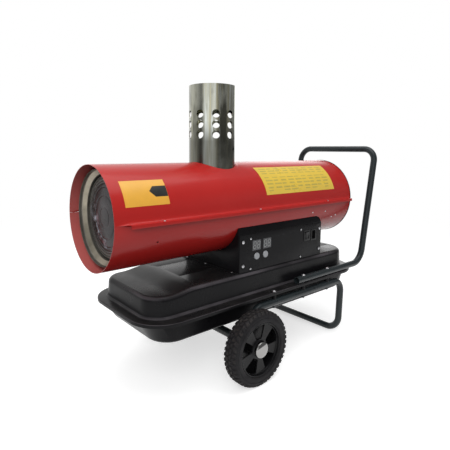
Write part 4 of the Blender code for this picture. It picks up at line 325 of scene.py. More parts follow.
class HeaterStage(bpy.types.PropertyGroup):
    camera_place: FloatVectorProperty(name="Camera", description="Place of the camera", size=3, unit="LENGTH",
                                      precision=4, default=(-1.0257, -1.0799, 0.7184))
    camera_yaw: degrees("Yaw", "Turn of the camera from +Y", -40.097)
    camera_pitch: degrees("Pitch", "How far the camera looks down", 6.735)
    camera_roll: degrees("Roll", "Roll of the camera", 0.414)
    lens: number("Lens", "Focal length in millimetres on a 36 mm sensor", 32.95)
    shift: FloatVectorProperty(name="Shift", description="Shift of the image", size=2,
                               default=(0.0138, -0.0591))
    floor_size: length("Floor", "Side of the floor", 12.0)
    floor: colour("Floor colour", "Floor", (0.80, 0.80, 0.80))
    floor_glow: number("Floor glow", "White added to the floor where it is seen", 0.56)
    floor_fade: places("Floor fade", "Distances from the middle where the floor turns white", (1.1, 3.2))
    floor_bounce: number("Floor bounce", "Share of light that the floor throws back", 0.25)
    key_power: number("Key", "Power of the key light in watts", 48.0)
    top_power: number("Top", "Power of the overhead light in watts", 42.0)
    fill_power: number("Fill", "Power of the fill light in watts", 12.0)
    sky: number("Sky", "Strength of the surrounding light", 0.40)


SETTINGS = (HeaterCasing, HeaterFlue, HeaterDrum, HeaterGuard, HeaterTank, HeaterTubes, HeaterWheels,
            HeaterControls, HeaterLabels, HeaterColours, HeaterStage)


# Mesh tools

def to_object(name, shape):
    bmesh.ops.recalc_face_normals(shape, faces=shape.faces)
    mesh = bpy.data.meshes.new(name)
    shape.to_mesh(mesh)
    shape.free()
    item = bpy.data.objects.new(name, mesh)
    bpy.context.scene.collection.objects.link(item)
    return item


def bridge(shape, first, second, closed=True):
    """Faces between two rows of vertices; a row of one vertex makes a fan."""
    total = max(len(first), len(second))
    for index in range(total if closed else total - 1):
        after = (index + 1) % total
        corners = []
        for row, order in ((first, (index, after)), (second, (after, index))):
            if len(row) == 1:
                corners.append(row[0])
            else:
                corners += [row[order[0]], row[order[1]]]
        shape.faces.new(corners)


def ring(shape, points):
    return [shape.verts.new(point) for point in points]


def skinned(shape, rows, closed=True):
    """Faces between each row of vertices and the next."""
    for first, second in zip(rows, rows[1:]):
        bridge(shape, first, second, closed)


def soften(points, size, steps=3, closed=False):
    """Rounds the corners of a 2D outline or profile."""
    result = []
    total = len(points)
    for index, point in enumerate(points):
        corner = Vector(point)
        before = Vector(points[index - 1]) - corner
        after = Vector(points[(index + 1) % total]) - corner
        end_point = not closed and index in (0, total - 1)
        if end_point or not before.length or not after.length or before.angle(after) > radians(165.0):
            result.append(tuple(point))
            continue
        start = corner + before.normalized() * min(size, before.length * 0.45)
        end = corner + after.normalized() * min(size, after.length * 0.45)
        for step in range(steps + 1):
            share = step / steps
            point = start * (1 - share) ** 2 + corner * 2 * share * (1 - share) + end * share ** 2
            result.append(tuple(point))
    return result


def arc(radius, start, end, steps, centre=(0.0, 0.0)):
    """Points on an arc, angles in degrees."""
    points = []
    for step in range(steps + 1):
        angle = radians(start + (end - start) * step / steps)
        points.append((centre[0] + radius * cos(angle), centre[1] + radius * sin(angle)))
    return points


def quarter(steps, first=0):
    """Sine and cosine at each step of a quarter turn."""
    return [(sin(pi / 2 * step / steps), cos(pi / 2 * step / steps)) for step in range(first, steps + 1)]


def spot(axis, distance, u, v):
    """Point at a distance along an axis, with its two other coordinates in X, Y, Z order."""
    return Vector({"X": (distance, u, v), "Y": (u, distance, v), "Z": (u, v, distance)}[axis])


def lathe(name, profile, axis, centre, steps=64, closed=False):
    """Turned piece: profile of (radius, distance) about an axis through centre."""
    shape = bmesh.new()
    turns = [2 * pi * step / steps for step in range(steps)]
    rows = []
    for radius, distance in profile:
        points = [spot(axis, distance, centre[0] + radius * cos(angle), centre[1] + radius * sin(angle))
                  for angle in (turns if radius > 1e-7 else (0.0,))]
        rows.append(ring(shape, points))
    skinned(shape, rows)
    if closed:
        bridge(shape, rows[-1], rows[0])
    return to_object(name, shape)


def band(inner, outer, low, high):
    """Section of a round sleeve, as a profile for lathe."""
    return [(inner, low), (outer, low), (outer, high), (inner, high)]


def rod(name, axis, centre, radius, low, high, steps=24):
    return lathe(name, band(0.0, radius, low, high), axis, centre, steps)


def prism(name, outline, axis, low, high):
    shape = bmesh.new()
    first = ring(shape, [spot(axis, low, u, v) for u, v in outline])
    second = ring(shape, [spot(axis, high, u, v) for u, v in outline])
    shape.faces.new(first)
    shape.faces.new(second)
    bridge(shape, first, second)
    return to_object(name, shape)


def swung(outline, angle, centre):
    """Outline turned about the origin and moved to its centre."""
    return [(centre[0] + u * cos(angle) - v * sin(angle), centre[1] + u * sin(angle) + v * cos(angle))
            for u, v in outline]


def plate(name, axis, middle, size, low, high, corner, bevel=0.0):
    """Rounded rectangle with softened edges, across an axis."""
    outline = [(middle[0] + u * size[0] / 2, middle[1] + v * size[1] / 2)
               for u, v in ((-1, -1), (1, -1), (1, 1), (-1, 1))]
    item = prism(name, soften(outline, corner, 5, closed=True), axis, low, high)
    return bevelled(item, bevel) if bevel else item


def seen_along_y(low, high):
    """Middle and size of a box as (x, z)."""
    return ((low.x + high.x) / 2, (low.z + high.z) / 2), (high.x - low.x, high.z - low.z)


def grown(size, more):
    return [value + more for value in size]


def rounded_path(corners, bends, steps):
    """Polyline through corners, with each inner corner replaced by an arc of its bend radius."""
    corners = [Vector(corner) for corner in corners]
    path = [corners[0]]
    for before, corner, after, bend in zip(corners, corners[1:], corners[2:], bends):
        into = (before - corner).normalized()
        out = (after - corner).normalized()
        half = into.angle(out) / 2
        centre = corner + (into + out).normalized() * bend / sin(half)
        start = corner + into * bend / tan(half) - centre
        axis = into.cross(out).normalized()
        for step in range(steps + 1):
            path.append(centre + Matrix.Rotation(-(pi - 2 * half) * step / steps, 3, axis) @ start)
    path.append(corners[-1])
    return path


def sweep(shape, path, radius, sides):
    """Rings of vertices round a path."""
    rows = []
    tangent = (path[1] - path[0]).normalized()
    normal = tangent.orthogonal().normalized()
    for index, place in enumerate(path):
        before = place - path[max(index - 1, 0)]
        after = path[min(index + 1, len(path) - 1)] - place
        ahead = (before.normalized() + after.normalized()).normalized()
        normal = tangent.rotation_difference(ahead) @ normal
        tangent = ahead
        other = tangent.cross(normal)
        row = []
        for side in range(sides):
            angle = 2 * pi * side / sides
            row.append(shape.verts.new(place + (normal * cos(angle) + other * sin(angle)) * radius))
        rows.append(row)
    return rows


def tube(name, path, radius, sides=28, wall=0.0):
    """Round bar along a path, or an open tube when it has a wall."""
    shape = bmesh.new()
    rows = sweep(shape, path, radius, sides)
    skinned(shape, rows)
    if not wall:
        shape.faces.new(rows[0])
        shape.faces.new(rows[-1])
        return to_object(name, shape)
    inner = sweep(shape, path, radius - wall, sides)
    skinned(shape, inner)
    bridge(shape, rows[0], inner[0])
    bridge(shape, rows[-1], inner[-1])
    return to_object(name, shape)


def applied(item):
    """Bakes the piece's modifiers into its mesh."""
    bpy.context.view_layer.update()
    graph = bpy.context.evaluated_depsgraph_get()
    mesh = bpy.data.meshes.new_from_object(item.evaluated_get(graph))
    item.modifiers.clear()
    item.data = mesh
    return item


def bevelled(item, width, segments=2, angle=32.0):
    modifier = item.modifiers.new("bevel", "BEVEL")
    modifier.width = width
    modifier.segments = segments
    modifier.limit_method = "ANGLE"
    modifier.angle_limit = radians(angle)
    return applied(item)


def thickened(item, thickness):
    modifier = item.modifiers.new("sheet", "SOLIDIFY")
    modifier.thickness = thickness
    modifier.offset = -1.0
    modifier.use_even_offset = True
    return applied(item)


def subtracted(item, cutter):
    modifier = item.modifiers.new("cut", "BOOLEAN")
    modifier.operation = "DIFFERENCE"
    modifier.solver = "EXACT"
    modifier.object = cutter
    applied(item)
    bpy.data.objects.remove(cutter, do_unlink=True)
    return item


def merged(name, items):
    """Several shapes as one piece."""
    shape = bmesh.new()
    for item in items:
        shape.from_mesh(item.data)
        bpy.data.objects.remove(item, do_unlink=True)
    return to_object(name, shape)


def about(axis, angle, centre):
    """Turn by an angle in radians about an axis through centre."""
    return Matrix.Translation(centre) @ Matrix.Rotation(angle, 4, axis) @ Matrix.Translation(-Vector(centre))


def turned(item, axis, angle, centre):
    item.data.transform(about(axis, angle, centre))
    return item


def settled(item, finish, body, *replaced, sharp=34.0, slot=None):
    """Gives a piece its finish and shading, hangs it on its body and lets it stand for CAD nodes."""
    item.data.materials.clear()
    item.data.materials.append(finish_of(finish))
    item.data.shade_smooth()
    item.data.set_sharp_from_angle(angle=radians(sharp))
    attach(item, body)
    if replaced:
        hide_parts(*replaced)
    return item


def fixed(item, finish, *replaced, sharp=34.0, slot=None):
    """Settles a piece that doesn't move."""
    return settled(item, finish, "chassis", *replaced, sharp=sharp, slot=slot)


# Finishes

def give(tree, item, values):
    """Gives a node's inputs, by label or number, another node's output or a plain value each."""
    for label, value in values.items():
        if hasattr(value, "links"):
            tree.links.new(value, item.inputs[label])
        else:
            item.inputs[label].default_value = value


def shader_node(tree, kind, inputs=None, **settings):
    """Outputs of a new shader node with its settings and inputs."""
    item = tree.nodes.new("ShaderNode" + kind)
    for label, value in settings.items():
        setattr(item, label, value)
    give(tree, item, inputs or {})
    return item.outputs


def new_group(name, result, kind="Float", **inputs):
    """Empty group with inputs of these defaults and one result, as its tree, its inputs and its sink."""
    tree = bpy.data.node_groups.new(name, "ShaderNodeTree")
    for label, value in inputs.items():
        sort = "NodeSocketFloat" if isinstance(value, float) else "NodeSocketColor"
        socket = tree.interface.new_socket(label, in_out="INPUT", socket_type=sort)
        socket.default_value = value
    tree.interface.new_socket(result, in_out="OUTPUT", socket_type="NodeSocket" + kind)
    return tree, tree.nodes.new("NodeGroupInput").outputs, tree.nodes.new("NodeGroupOutput")


def own_place(tree):
    """The object's own coordinates."""
    return shader_node(tree, "TexCoord")["Object"]


def component(tree, vector, letter):
    return shader_node(tree, "SeparateXYZ", {0: vector})[letter]


def upward(tree):
    """How far a face looks up, from -1 to 1."""
    return component(tree, shader_node(tree, "NewGeometry")["Normal"], "Z")


def noise(tree, scale, detail, roughness=0.5, stretch=None):
    """Noise over the object's own coordinates, drawn out along an axis where stretch says so."""
    place = own_place(tree)
    if stretch:
        place = shader_node(tree, "Mapping", {"Scale": stretch, "Vector": place})["Vector"]
    values = {"Detail": detail, "Roughness": roughness, "Scale": scale, "Vector": place}
    return shader_node(tree, "TexNoise", values)["Fac"]


def maths(tree, operation, first, second):
    """Math on two values, each a socket or a number."""
    return shader_node(tree, "Math", {0: first, 1: second}, operation=operation)["Value"]


def times(tree, *values):
    """Product of masks, each a socket or a number."""
    product = values[0]
    for value in values[1:]:
        product = maths(tree, "MULTIPLY", product, value)
    return product


def vector_maths(tree, operation, first, second=(0.0, 0.0, 0.0)):
    """Outputs of math on two vectors, each a socket or three numbers."""
    return shader_node(tree, "VectorMath", {0: first, 1: second}, operation=operation)


def spread(tree, value, low, high, start=0.0, end=1.0, shape="LINEAR"):
    """Stretches a value between two bounds to the whole of 0 to 1, or of another start and end."""
    values = {"Value": value, "From Min": low, "From Max": high, "To Min": start, "To Max": end}
    return shader_node(tree, "MapRange", values, interpolation_type=shape)["Result"]


def blend_colour(tree, factor, first, second):
    """Lays a second colour over the first where the factor is high."""
    values = {"Factor": factor, "A": first, "B": second}
    return shader_node(tree, "Mix", values, data_type="RGBA")["Result"]


def tone_group():
    """Slow drift between two tones, with fine mottling over it."""
    grey = (0.5, 0.5, 0.5, 1.0)
    tree, source, sink = new_group("tone_drift", "Color", "Color", First=grey, Second=grey, Scale=6.0)
    drift = spread(tree, noise(tree, source["Scale"], 5.0, 0.62), 0.32, 0.68)
    give(tree, sink, {0: blend_colour(tree, drift, source["First"], source["Second"])})
    return tree


def gloss_group():
    """Roughness that wanders between two values, as handling and cleaning leave it."""
    tree, source, sink = new_group("gloss_drift", "Roughness", Low=0.2, High=0.4, Scale=12.0)
    wander = noise(tree, source["Scale"], 6.0, 0.7)
    give(tree, sink, {0: spread(tree, wander, 0.35, 0.65, source["Low"], source["High"])})
    return tree


def grain_group():
    """Height of a fine grain, such as orange peel, powder coat or moulded texture."""
    tree, source, sink = new_group("fine_grain", "Height", Scale=300.0)
    give(tree, sink, {0: noise(tree, source["Scale"], 2.0)})
    return tree


def wear_group():
    """Mask of rubbed edges and small chips, from the shape's own edges broken up by noise."""
    tree, source, sink = new_group("edge_wear", "Mask", Amount=0.5, Scale=80.0)
    edges = spread(tree, shader_node(tree, "NewGeometry")["Pointiness"], 0.56, 0.66)
    breaks = spread(tree, noise(tree, source["Scale"], 4.0, 0.7), 0.45, 0.62)
    give(tree, sink, {0: times(tree, edges, breaks, source["Amount"])})
    return tree


def dust_group():
    """Mask of settled dust on faces that look up, which on the tank's top also serves as painted sheen."""
    tree, source, sink = new_group("settled_dust", "Mask", Amount=0.3, Scale=25.0)
    speck = spread(tree, noise(tree, source["Scale"], 8.0, 0.75), 0.30, 0.80)
    give(tree, sink, {0: times(tree, spread(tree, upward(tree), 0.55, 1.0), speck, source["Amount"])})
    return tree


GROUPS = {"tone_drift": tone_group, "gloss_drift": gloss_group, "fine_grain": grain_group,
          "edge_wear": wear_group, "settled_dust": dust_group}


def group_node(tree, name, **values):
    """Result of a shared group, which is built when it is first used."""
    group = bpy.data.node_groups.get(name) or GROUPS[name]()
    return shader_node(tree, "Group", values, node_tree=group)[0]


def rgba(value, factor=1.0):
    return (*(min(part * factor, 1.0) for part in value), 1.0)


# Tone of settled dust, which on the tank's top also serves as painted sheen
DUST_SHEEN_TONE = (0.30, 0.28, 0.25, 1.0)


def base_finish(name, tone, drift, tone_scale, gloss, gloss_scale, metallic, grain, wear=None, dust=0.0,
                specular=0.5):
    """Material with drifting tone and gloss, a fine grain, and wear or dust where they belong; on the tank's
    top the dust also serves as painted sheen.
    """
    material = bpy.data.materials.new(name)
    material.use_nodes = True
    tree = material.node_tree
    surface = group_node(tree, "tone_drift", First=rgba(tone), Second=rgba(tone, drift), Scale=tone_scale)
    if dust:
        surface = blend_colour(tree, group_node(tree, "settled_dust", Amount=dust), surface, DUST_SHEEN_TONE)
    if wear:
        rubbed = group_node(tree, "edge_wear", Amount=wear[1])
        surface = blend_colour(tree, rubbed, surface, rgba(wear[0]))
    height = group_node(tree, "fine_grain", Scale=grain[0])
    normal = shader_node(tree, "Bump", {"Distance": grain[1], "Height": height})["Normal"]
    roughness = group_node(tree, "gloss_drift", Low=gloss[0], High=gloss[1], Scale=gloss_scale)
    give(tree, tree.nodes["Principled BSDF"],
         {"Base Color": surface, "Roughness": roughness, "Metallic": metallic, "Specular IOR Level": specular,
          "Normal": normal})
    return material


def finish_of(name):
    """The finish of that name, made when it is first asked for."""
    ready = bpy.data.materials.get("look_" + name)
    if ready:
        return ready
    tone, *values, more = FINISHES[name]
    if isinstance(tone, str):
        tone = getattr(bpy.context.scene.heater_colours, tone)
    material = base_finish("look_" + name, tone, *values, **more)
    tree = material.node_tree
    shader = tree.nodes["Principled BSDF"]
    for mask, tint in LAYERS[name](tree) if name in LAYERS else ():
        under = shader.inputs["Base Color"].links[0].from_socket
        give(tree, shader, {"Base Color": blend_colour(tree, mask, under, rgba(tint))})
    return material


# Heights between which a painted dark reflection darkens the flue downward
FLUE_PAINTED_REFLECTION_SPAN = (0.810, 0.745)
PAINTED_REFLECTION_STRENGTH = 0.8
PAINTED_REFLECTION_STEEL = (0.10, 0.10, 0.085)


def flue_layers(tree):
    """Soft upright bands, partly heat tint and rolling marks and partly painted reflection streaks, and a
    painted dark reflection over the lower half.
    """
    # Bands that are partly heat tint and partly painted reflection streaks
    layers = [(spread(tree, noise(tree, scale, 3.0, 0.6, (1.0, 1.0, tall)), start, end), tint)
              for scale, tall, start, end, tint in FLUE_TINT_AND_REFLECTION_BANDS]
    # Painted dark reflection, which darkens the flue toward its foot
    low = spread(tree, component(tree, own_place(tree), "Z"), *FLUE_PAINTED_REFLECTION_SPAN)
    return layers + [(times(tree, low, PAINTED_REFLECTION_STRENGTH), PAINTED_REFLECTION_STEEL)]


# Scale, stretch along the flue, start and end of the noise, and tint of each layer of bands, which are partly
# heat tint and partly painted reflection streaks
FLUE_TINT_AND_REFLECTION_BANDS = ((16.0, 0.03, 0.44, 0.60, (0.27, 0.27, 0.22)), (18.0, 0.30, 0.50, 0.62, (0.15, 0.15, 0.12)),
              (50.0, 0.03, 0.52, 0.64, (0.55, 0.52, 0.36)), (60.0, 0.05, 0.56, 0.68, (0.80, 0.84, 0.80)))


# Distances from the rim between which the painted light on the casing's inside fades out and it turns red
# again
INSIDE_LIGHT_FADE = (0.20, 0.12)
INSIDE_LIGHT_STRENGTH = 0.45
PAINTED_LIGHT_RED = (0.62, 0.24, 0.22)


def casing_layers(tree):
    """Painted light on the inside of the tube at the outlet, as a paler red there."""
    casing = bpy.context.scene.heater_casing
    across = vector_maths(tree, "MULTIPLY", own_place(tree), (0.0, 1.0, 1.0))["Vector"]
    away = vector_maths(tree, "DISTANCE", across, (0.0, 0.0, casing.axis_z))["Value"]
    inside = maths(tree, "LESS_THAN", away, casing.radius - casing.sheet / 2)
    outlet = spread(tree, component(tree, own_place(tree), "X"), *map(along, INSIDE_LIGHT_FADE))
    # Painted light: a paler red inside the tube near the outlet
    return [(times(tree, inside, outlet, INSIDE_LIGHT_STRENGTH), PAINTED_LIGHT_RED)]


# Strength and tone of the painted highlight along the tank's rounded edges
EDGE_HIGHLIGHT_STRENGTH = 0.8
PAINTED_EDGE_HIGHLIGHT = (0.105, 0.095, 0.105)


def tank_layers(tree):
    """A painted highlight along the tank's pressed edges."""
    up = upward(tree)
    round_off = times(tree, spread(tree, up, 0.30, 0.50), spread(tree, up, 0.97, 0.80))
    broken = spread(tree, noise(tree, 6.0, 2.0, 0.5), 0.30, 0.70)
    return [(times(tree, round_off, broken, EDGE_HIGHLIGHT_STRENGTH), PAINTED_EDGE_HIGHLIGHT)]


def near_place(tree, place, inner, outer):
    """1 within the inner distance of a place, falling to 0 at the outer one."""
    return spread(tree, vector_maths(tree, "DISTANCE", own_place(tree), place)["Value"], outer, inner)


EDGE_STRENGTH = 0.75
EDGE_GREY = (0.15, 0.15, 0.14)
# Bluish white of the painted highlights on the chamber's front
CHAMBER_PAINTED_HIGHLIGHT = (0.75, 0.80, 0.92)


def chamber_layers(tree):
    """Lighter grey steel toward the chamber's edge, and a few painted highlights on its front."""
    drum, casing = bpy.context.scene.heater_drum, bpy.context.scene.heater_casing
    x, z, radius = along(drum.chamber_front), casing.axis_z, drum.chamber_radius
    edge = maths(tree, "SUBTRACT", 1.0, near_place(tree, (x, 0.0, z), radius * 0.78, radius * 0.92))
    layers = [(times(tree, edge, EDGE_STRENGTH), EDGE_GREY)]
    mottle = spread(tree, noise(tree, 46.0, 5.0, 0.65), 0.42, 0.66)
    # Painted highlights on the chamber's front
    for share, side, up, size in CHAMBER_HIGHLIGHT_PATCHES:
        patch = near_place(tree, (x, side * radius, z + up * radius), size * 0.2, size)
        layers.append((times(tree, patch, mottle, share), CHAMBER_PAINTED_HIGHLIGHT))
    return layers


LAYERS = {"polished_steel": flue_layers, "red_enamel": casing_layers, "tank_enamel": tank_layers,
          "tinted_steel": chamber_layers}


# Strength, side and height as shares of the chamber's radius, and size of each painted highlight patch on its
# front
CHAMBER_HIGHLIGHT_PATCHES = ((1.0, 0.50, -0.15, 0.026), (0.9, 0.34, -0.48, 0.022), (0.8, 0.06, -0.66, 0.018),
                   (0.4, 0.62, 0.18, 0.045))
BARE = (0.30, 0.30, 0.31)
BLACK = ("black", 1.35, 5.0, (0.25, 0.35), 9.0, 0.0, (900.0, 0.00003))

# Tone, its drift and scale, roughness and its scale, metallic, scale and depth of the grain, and the rest
FINISHES = {
    "red_enamel": ("red", 1.12, 3.0, (0.19, 0.26), 7.0, 0.0, (170.0, 0.00004),
                   dict(wear=((0.20, 0.02, 0.02), 0.3), specular=0.25)),
    "black_enamel": (*BLACK, dict(wear=(BARE, 0.03), dust=0.03, specular=0.09)),
    # The tank's dust is raised so that it also paints a sheen on its top
    "tank_enamel": (*BLACK, dict(wear=(BARE, 0.03), dust=0.05, specular=0.12)),
    "dark_grey_tube": ("tube", 1.35, 8.0, (0.24, 0.36), 14.0, 0.0, (700.0, 0.00003),
                       dict(wear=(BARE, 0.05), specular=0.30)),
    "polished_steel": ("steel", 0.9, 10.0, (0.10, 0.20), 30.0, 1.0, (200.0, 0.00003), {}),
    "dull_steel": ("dull", 0.55, 16.0, (0.24, 0.48), 22.0, 1.0, (260.0, 0.00008), {}),
    "dark_steel": ((0.155, 0.148, 0.128), 1.7, 22.0, (0.30, 0.50), 26.0, 0.7, (260.0, 0.00008), {}),
    "warm_steel": ("warm", 0.72, 26.0, (0.30, 0.50), 30.0, 0.85, (420.0, 0.00006), {}),
    "tinted_steel": ("tinted", 2.6, 17.0, (0.13, 0.30), 26.0, 0.55, (160.0, 0.0002), dict(specular=0.2)),
    "zinc_plate": ("zinc", 0.8, 90.0, (0.22, 0.40), 120.0, 1.0, (900.0, 0.00002), {}),
    "chrome": ("chrome", 0.94, 40.0, (0.05, 0.10), 60.0, 1.0, (60.0, 0.00001), {}),
    "tyre_rubber": ("rubber", 1.7, 18.0, (0.58, 0.76), 30.0, 0.0, (1100.0, 0.00006),
                    dict(wear=((0.060, 0.052, 0.046), 0.35), dust=0.05, specular=0.22)),
    "gloss_black_plastic": ("plastic", 1.5, 14.0, (0.20, 0.30), 18.0, 0.0, (420.0, 0.00002),
                            dict(specular=0.16)),
    "black_plastic": ("plastic", 1.6, 30.0, (0.36, 0.50), 40.0, 0.0, (1300.0, 0.00004), dict(specular=0.3)),
    "grey_button": ("key", 0.92, 60.0, (0.34, 0.46), 70.0, 0.0, (1500.0, 0.00003), {}),
    "display_face": ("display", 1.2, 60.0, (0.16, 0.26), 50.0, 0.0, (300.0, 0.00001), dict(specular=0.3)),
    "digit": ("digit", 0.8, 160.0, (0.30, 0.42), 80.0, 0.0, (600.0, 0.00002), {}),
    "arrow_label": ("amber", 0.93, 30.0, (0.26, 0.36), 20.0, 0.0, (240.0, 0.00002), {}),
    "wide_label": ("yellow", 0.93, 24.0, (0.26, 0.36), 20.0, 0.0, (240.0, 0.00002), {}),
    "label_block": ("olive", 1.25, 60.0, (0.34, 0.46), 30.0, 0.0, (300.0, 0.00002), {}),
    "label_print": ((0.016, 0.017, 0.016), 1.5, 40.0, (0.30, 0.42), 30.0, 0.0, (300.0, 0.00002),
                    dict(specular=0.3)),
    "cast_iron": ((0.06, 0.06, 0.065), 1.6, 30.0, (0.50, 0.66), 60.0, 0.4, (420.0, 0.0002), {}),
    "alloy": ((0.46, 0.47, 0.49), 0.8, 30.0, (0.34, 0.52), 60.0, 1.0, (500.0, 0.0001), {}),
    "brass": ((0.66, 0.46, 0.18), 0.7, 40.0, (0.24, 0.42), 60.0, 1.0, (500.0, 0.00003), {}),
    "circuit_board": ((0.015, 0.12, 0.045), 0.6, 140.0, (0.30, 0.46), 90.0, 0.0, (400.0, 0.00004), {}),
    "ceramic": ((0.78, 0.76, 0.70), 0.9, 50.0, (0.18, 0.34), 60.0, 0.0, (400.0, 0.00003), {}),
    "nylon": ((0.62, 0.60, 0.53), 0.86, 40.0, (0.40, 0.54), 60.0, 0.0, (600.0, 0.00003), {}),
    "fuel_hose": ((0.014, 0.014, 0.014), 1.6, 40.0, (0.52, 0.68), 60.0, 0.0, (900.0, 0.00008), {}),
}

KEPT_FINISHES = {
    "dull_steel": ("crossover_duct", "burner_head", "motor_bracket", "nozzle_pipe"),
    "zinc_plate": ("axle", "near_axle_nut", "far_axle_nut", "motor_shaft"),
    "black_enamel": ("filler_neck",),
    "cast_iron": ("motor_body",),
    "alloy": ("front_bearing", "rear_bearing", "pump_housing", "pump_cover", "pump_rotor", "fan"),
    "brass": ("fuel_nozzle", "fuel_pickup"),
    "ceramic": ("electrodes",),
    "circuit_board": ("control_board",),
    "black_plastic": ("ignition_transformer",),
    "nylon": ("fuel_filter",),
    "fuel_hose": ("fuel_hose", "cap_seal"),
}


# Casing

def round_casing(radius, angle, casing):
    """(y, z) on the casing at an angle from +Y in radians."""
    return radius * cos(angle), casing.axis_z + radius * sin(angle)


def upper_section(casing, share, with_flange):
    """Half section of the upper sheet's outer face from the top to the seam's edge, as (y, z)."""
    radius, flare = casing.radius, casing.flare
    low = casing.axis_z + casing.seam + casing.sheet
    start = asin((flare + casing.sheet) / radius)
    points = []
    for step in range(13):
        angle = pi / 4 + (start - pi / 4) * step / 12
        points.append(round_casing(radius, angle, casing))
    for step in range(1, 6):
        angle = pi + pi / 2 * step / 5
        full = (radius + flare + flare * cos(angle), low + flare + flare * sin(angle))
        plain_z = full[1] - casing.sheet * step / 5
        plain = (sqrt(radius ** 2 - (plain_z - casing.axis_z) ** 2), plain_z)
        points.append(tuple(Vector(plain).lerp(Vector(full), share)))
    if with_flange:
        edge = radius + casing.flange_width
        turn = casing.sheet
        points.append((edge - turn, low))
        points.append((edge - turn * 0.3, low - turn * 0.3))
        points.append((edge, low - turn))
        points.append((edge, casing.axis_z + casing.seam - casing.flange_lip))
    return points


def casing_stations(casing, flue):
    """Distances of the casing's rings, with a finer set round the flue."""
    reach = flue.radius + casing.collar_reach + 0.014
    stations = [0.0, 0.002, 0.012, 0.022, 0.032, casing.flange_start]
    hole = [flue.place - reach + 2 * reach * step / 12 for step in range(13)]
    for low, high, steps in ((casing.flange_start, hole[0], 8), (hole[-1], casing.flange_end, 14)):
        inner = [low + (high - low) * step / steps for step in range(1, steps)]
        stations += inner + (hole if low == casing.flange_start else [])
    return stations + [casing.flange_end, casing.length - 0.002, casing.length], hole


def upper_casing(casing, flue):
    stations, hole = casing_stations(casing, flue)
    shape = bmesh.new()
    sections = {}
    for side in (-1, 1):
        for index, distance in enumerate(stations):
            inside = casing.flange_start <= distance <= casing.flange_end
            share = 1.0 if inside else 0.0
            if distance < casing.flange_start:
                share = (distance / casing.flange_start) ** 1.6
            points = upper_section(casing, share, inside)
            sections[side, index] = ring(shape, [(along(distance), side * y, z) for y, z in points])
        rows = [sections[side, index] for index in range(len(stations))]
        for first, second in zip(rows, rows[1:]):
            total = min(len(first), len(second))
            bridge(shape, first[:total], second[:total], closed=False)
    # Crown between the two 45 degree lines, with the ring round the flue
    steps = 12
    crown = []
    for index, distance in enumerate(stations):
        row = [sections[1, index][0]]
        for step in range(1, steps):
            angle = pi / 4 + pi / 2 * step / steps
            row.append(shape.verts.new((along(distance), *round_casing(casing.radius, angle, casing))))
        crown.append(row + [sections[-1, index][0]])
    first_hole, last_hole = stations.index(hole[0]), stations.index(hole[-1])
    for index in range(len(stations) - 1):
        if not first_hole <= index < last_hole:
            bridge(shape, crown[index], crown[index + 1], closed=False)
    border = crown[first_hole][:-1] + [row[-1] for row in crown[first_hole:last_hole]]
    border += crown[last_hole][:0:-1] + [row[0] for row in crown[last_hole:first_hole:-1]]
    rim = flue.radius + flue.clearance
    rings = [border]
    centre_x = along(flue.place)
    for out in [casing.collar_reach * share for share in (1.0, 0.75, 0.5, 0.25, 0.0)]:
        points = []
        lift = casing.collar * (0.5 + 0.5 * cos(pi * out / casing.collar_reach))
        for vert in border:
            y = vert.co.y
            arc_y = casing.radius * asin(max(-1.0, min(1.0, y / casing.radius)))
            angle = atan2(arc_y, vert.co.x - centre_x)
            x, y = (rim + out) * cos(angle), (rim + out) * sin(angle)
            points.append((centre_x + x, y, casing.axis_z + sqrt(casing.radius ** 2 - y ** 2) + lift))
        rings.append(ring(shape, points))
    skinned(shape, rings)
    item = facing_out(to_object("casing_top", shape), (0.0, 0.0, casing.axis_z), "X")
    return thickened(item, casing.sheet)


def facing_out(item, centre, axis):
    """Makes a shell's faces look away from an axis through centre, so that it thickens inward."""
    shape = bmesh.new()
    shape.from_mesh(item.data)
    vote = 0.0
    for face in shape.faces:
        away = face.calc_center_median() - Vector(centre)
        away["XYZ".index(axis)] = 0.0
        vote += face.normal.dot(away) * face.calc_area()
    if vote < 0.0:
        bmesh.ops.reverse_faces(shape, faces=shape.faces)
    shape.to_mesh(item.data)
    shape.free()
    return item


def lower_casing(casing):
    shape = bmesh.new()
    stations = [0.0, 0.002] + [casing.flange_start + (casing.flange_end - casing.flange_start) * step / 26
                               for step in range(27)] + [casing.length - 0.002, casing.length]
    start = asin(casing.seam / casing.radius)
    rows = []
    for distance in stations:
        inside = casing.flange_start <= distance <= casing.flange_end
        points = []
        for step in range(49):
            angle = -start - (pi - 2 * start) * step / 48
            points.append(round_casing(casing.radius, angle, casing))
        edge = casing.radius + casing.flange_width - casing.sheet - casing.seam
        flange = [(edge, casing.axis_z - casing.seam), (casing.radius + 0.003, casing.axis_z - casing.seam)]
        row = ring(shape, [(along(distance), y, z) for y, z in points])
        if inside:
            row = (ring(shape, [(along(distance), y, z) for y, z in flange]) + row
                   + ring(shape, [(along(distance), -y, z) for y, z in flange[::-1]]))
        rows.append(row)
    for first, second in zip(rows, rows[1:]):
        size = min(len(first), len(second))
        cut_first, cut_second = (len(first) - size) // 2, (len(second) - size) // 2
        bridge(shape, first[cut_first:cut_first + size], second[cut_second:cut_second + size], closed=False)
    item = facing_out(to_object("casing_bottom", shape), (0.0, 0.0, casing.axis_z), "X")
    thickened(item, casing.sheet)
    hole = rod("hole", "Z", (0.0, 0.0), casing.hole_radius, -0.01, 0.01)
    hole.data.transform(Matrix.Translation((along(casing.hole_place), 0.0, casing.axis_z))
                        @ Matrix.Rotation(pi / 2 + casing.hole_angle, 4, "X")
                        @ Matrix.Translation((0.0, 0.0, casing.radius)))
    return subtracted(item, hole)


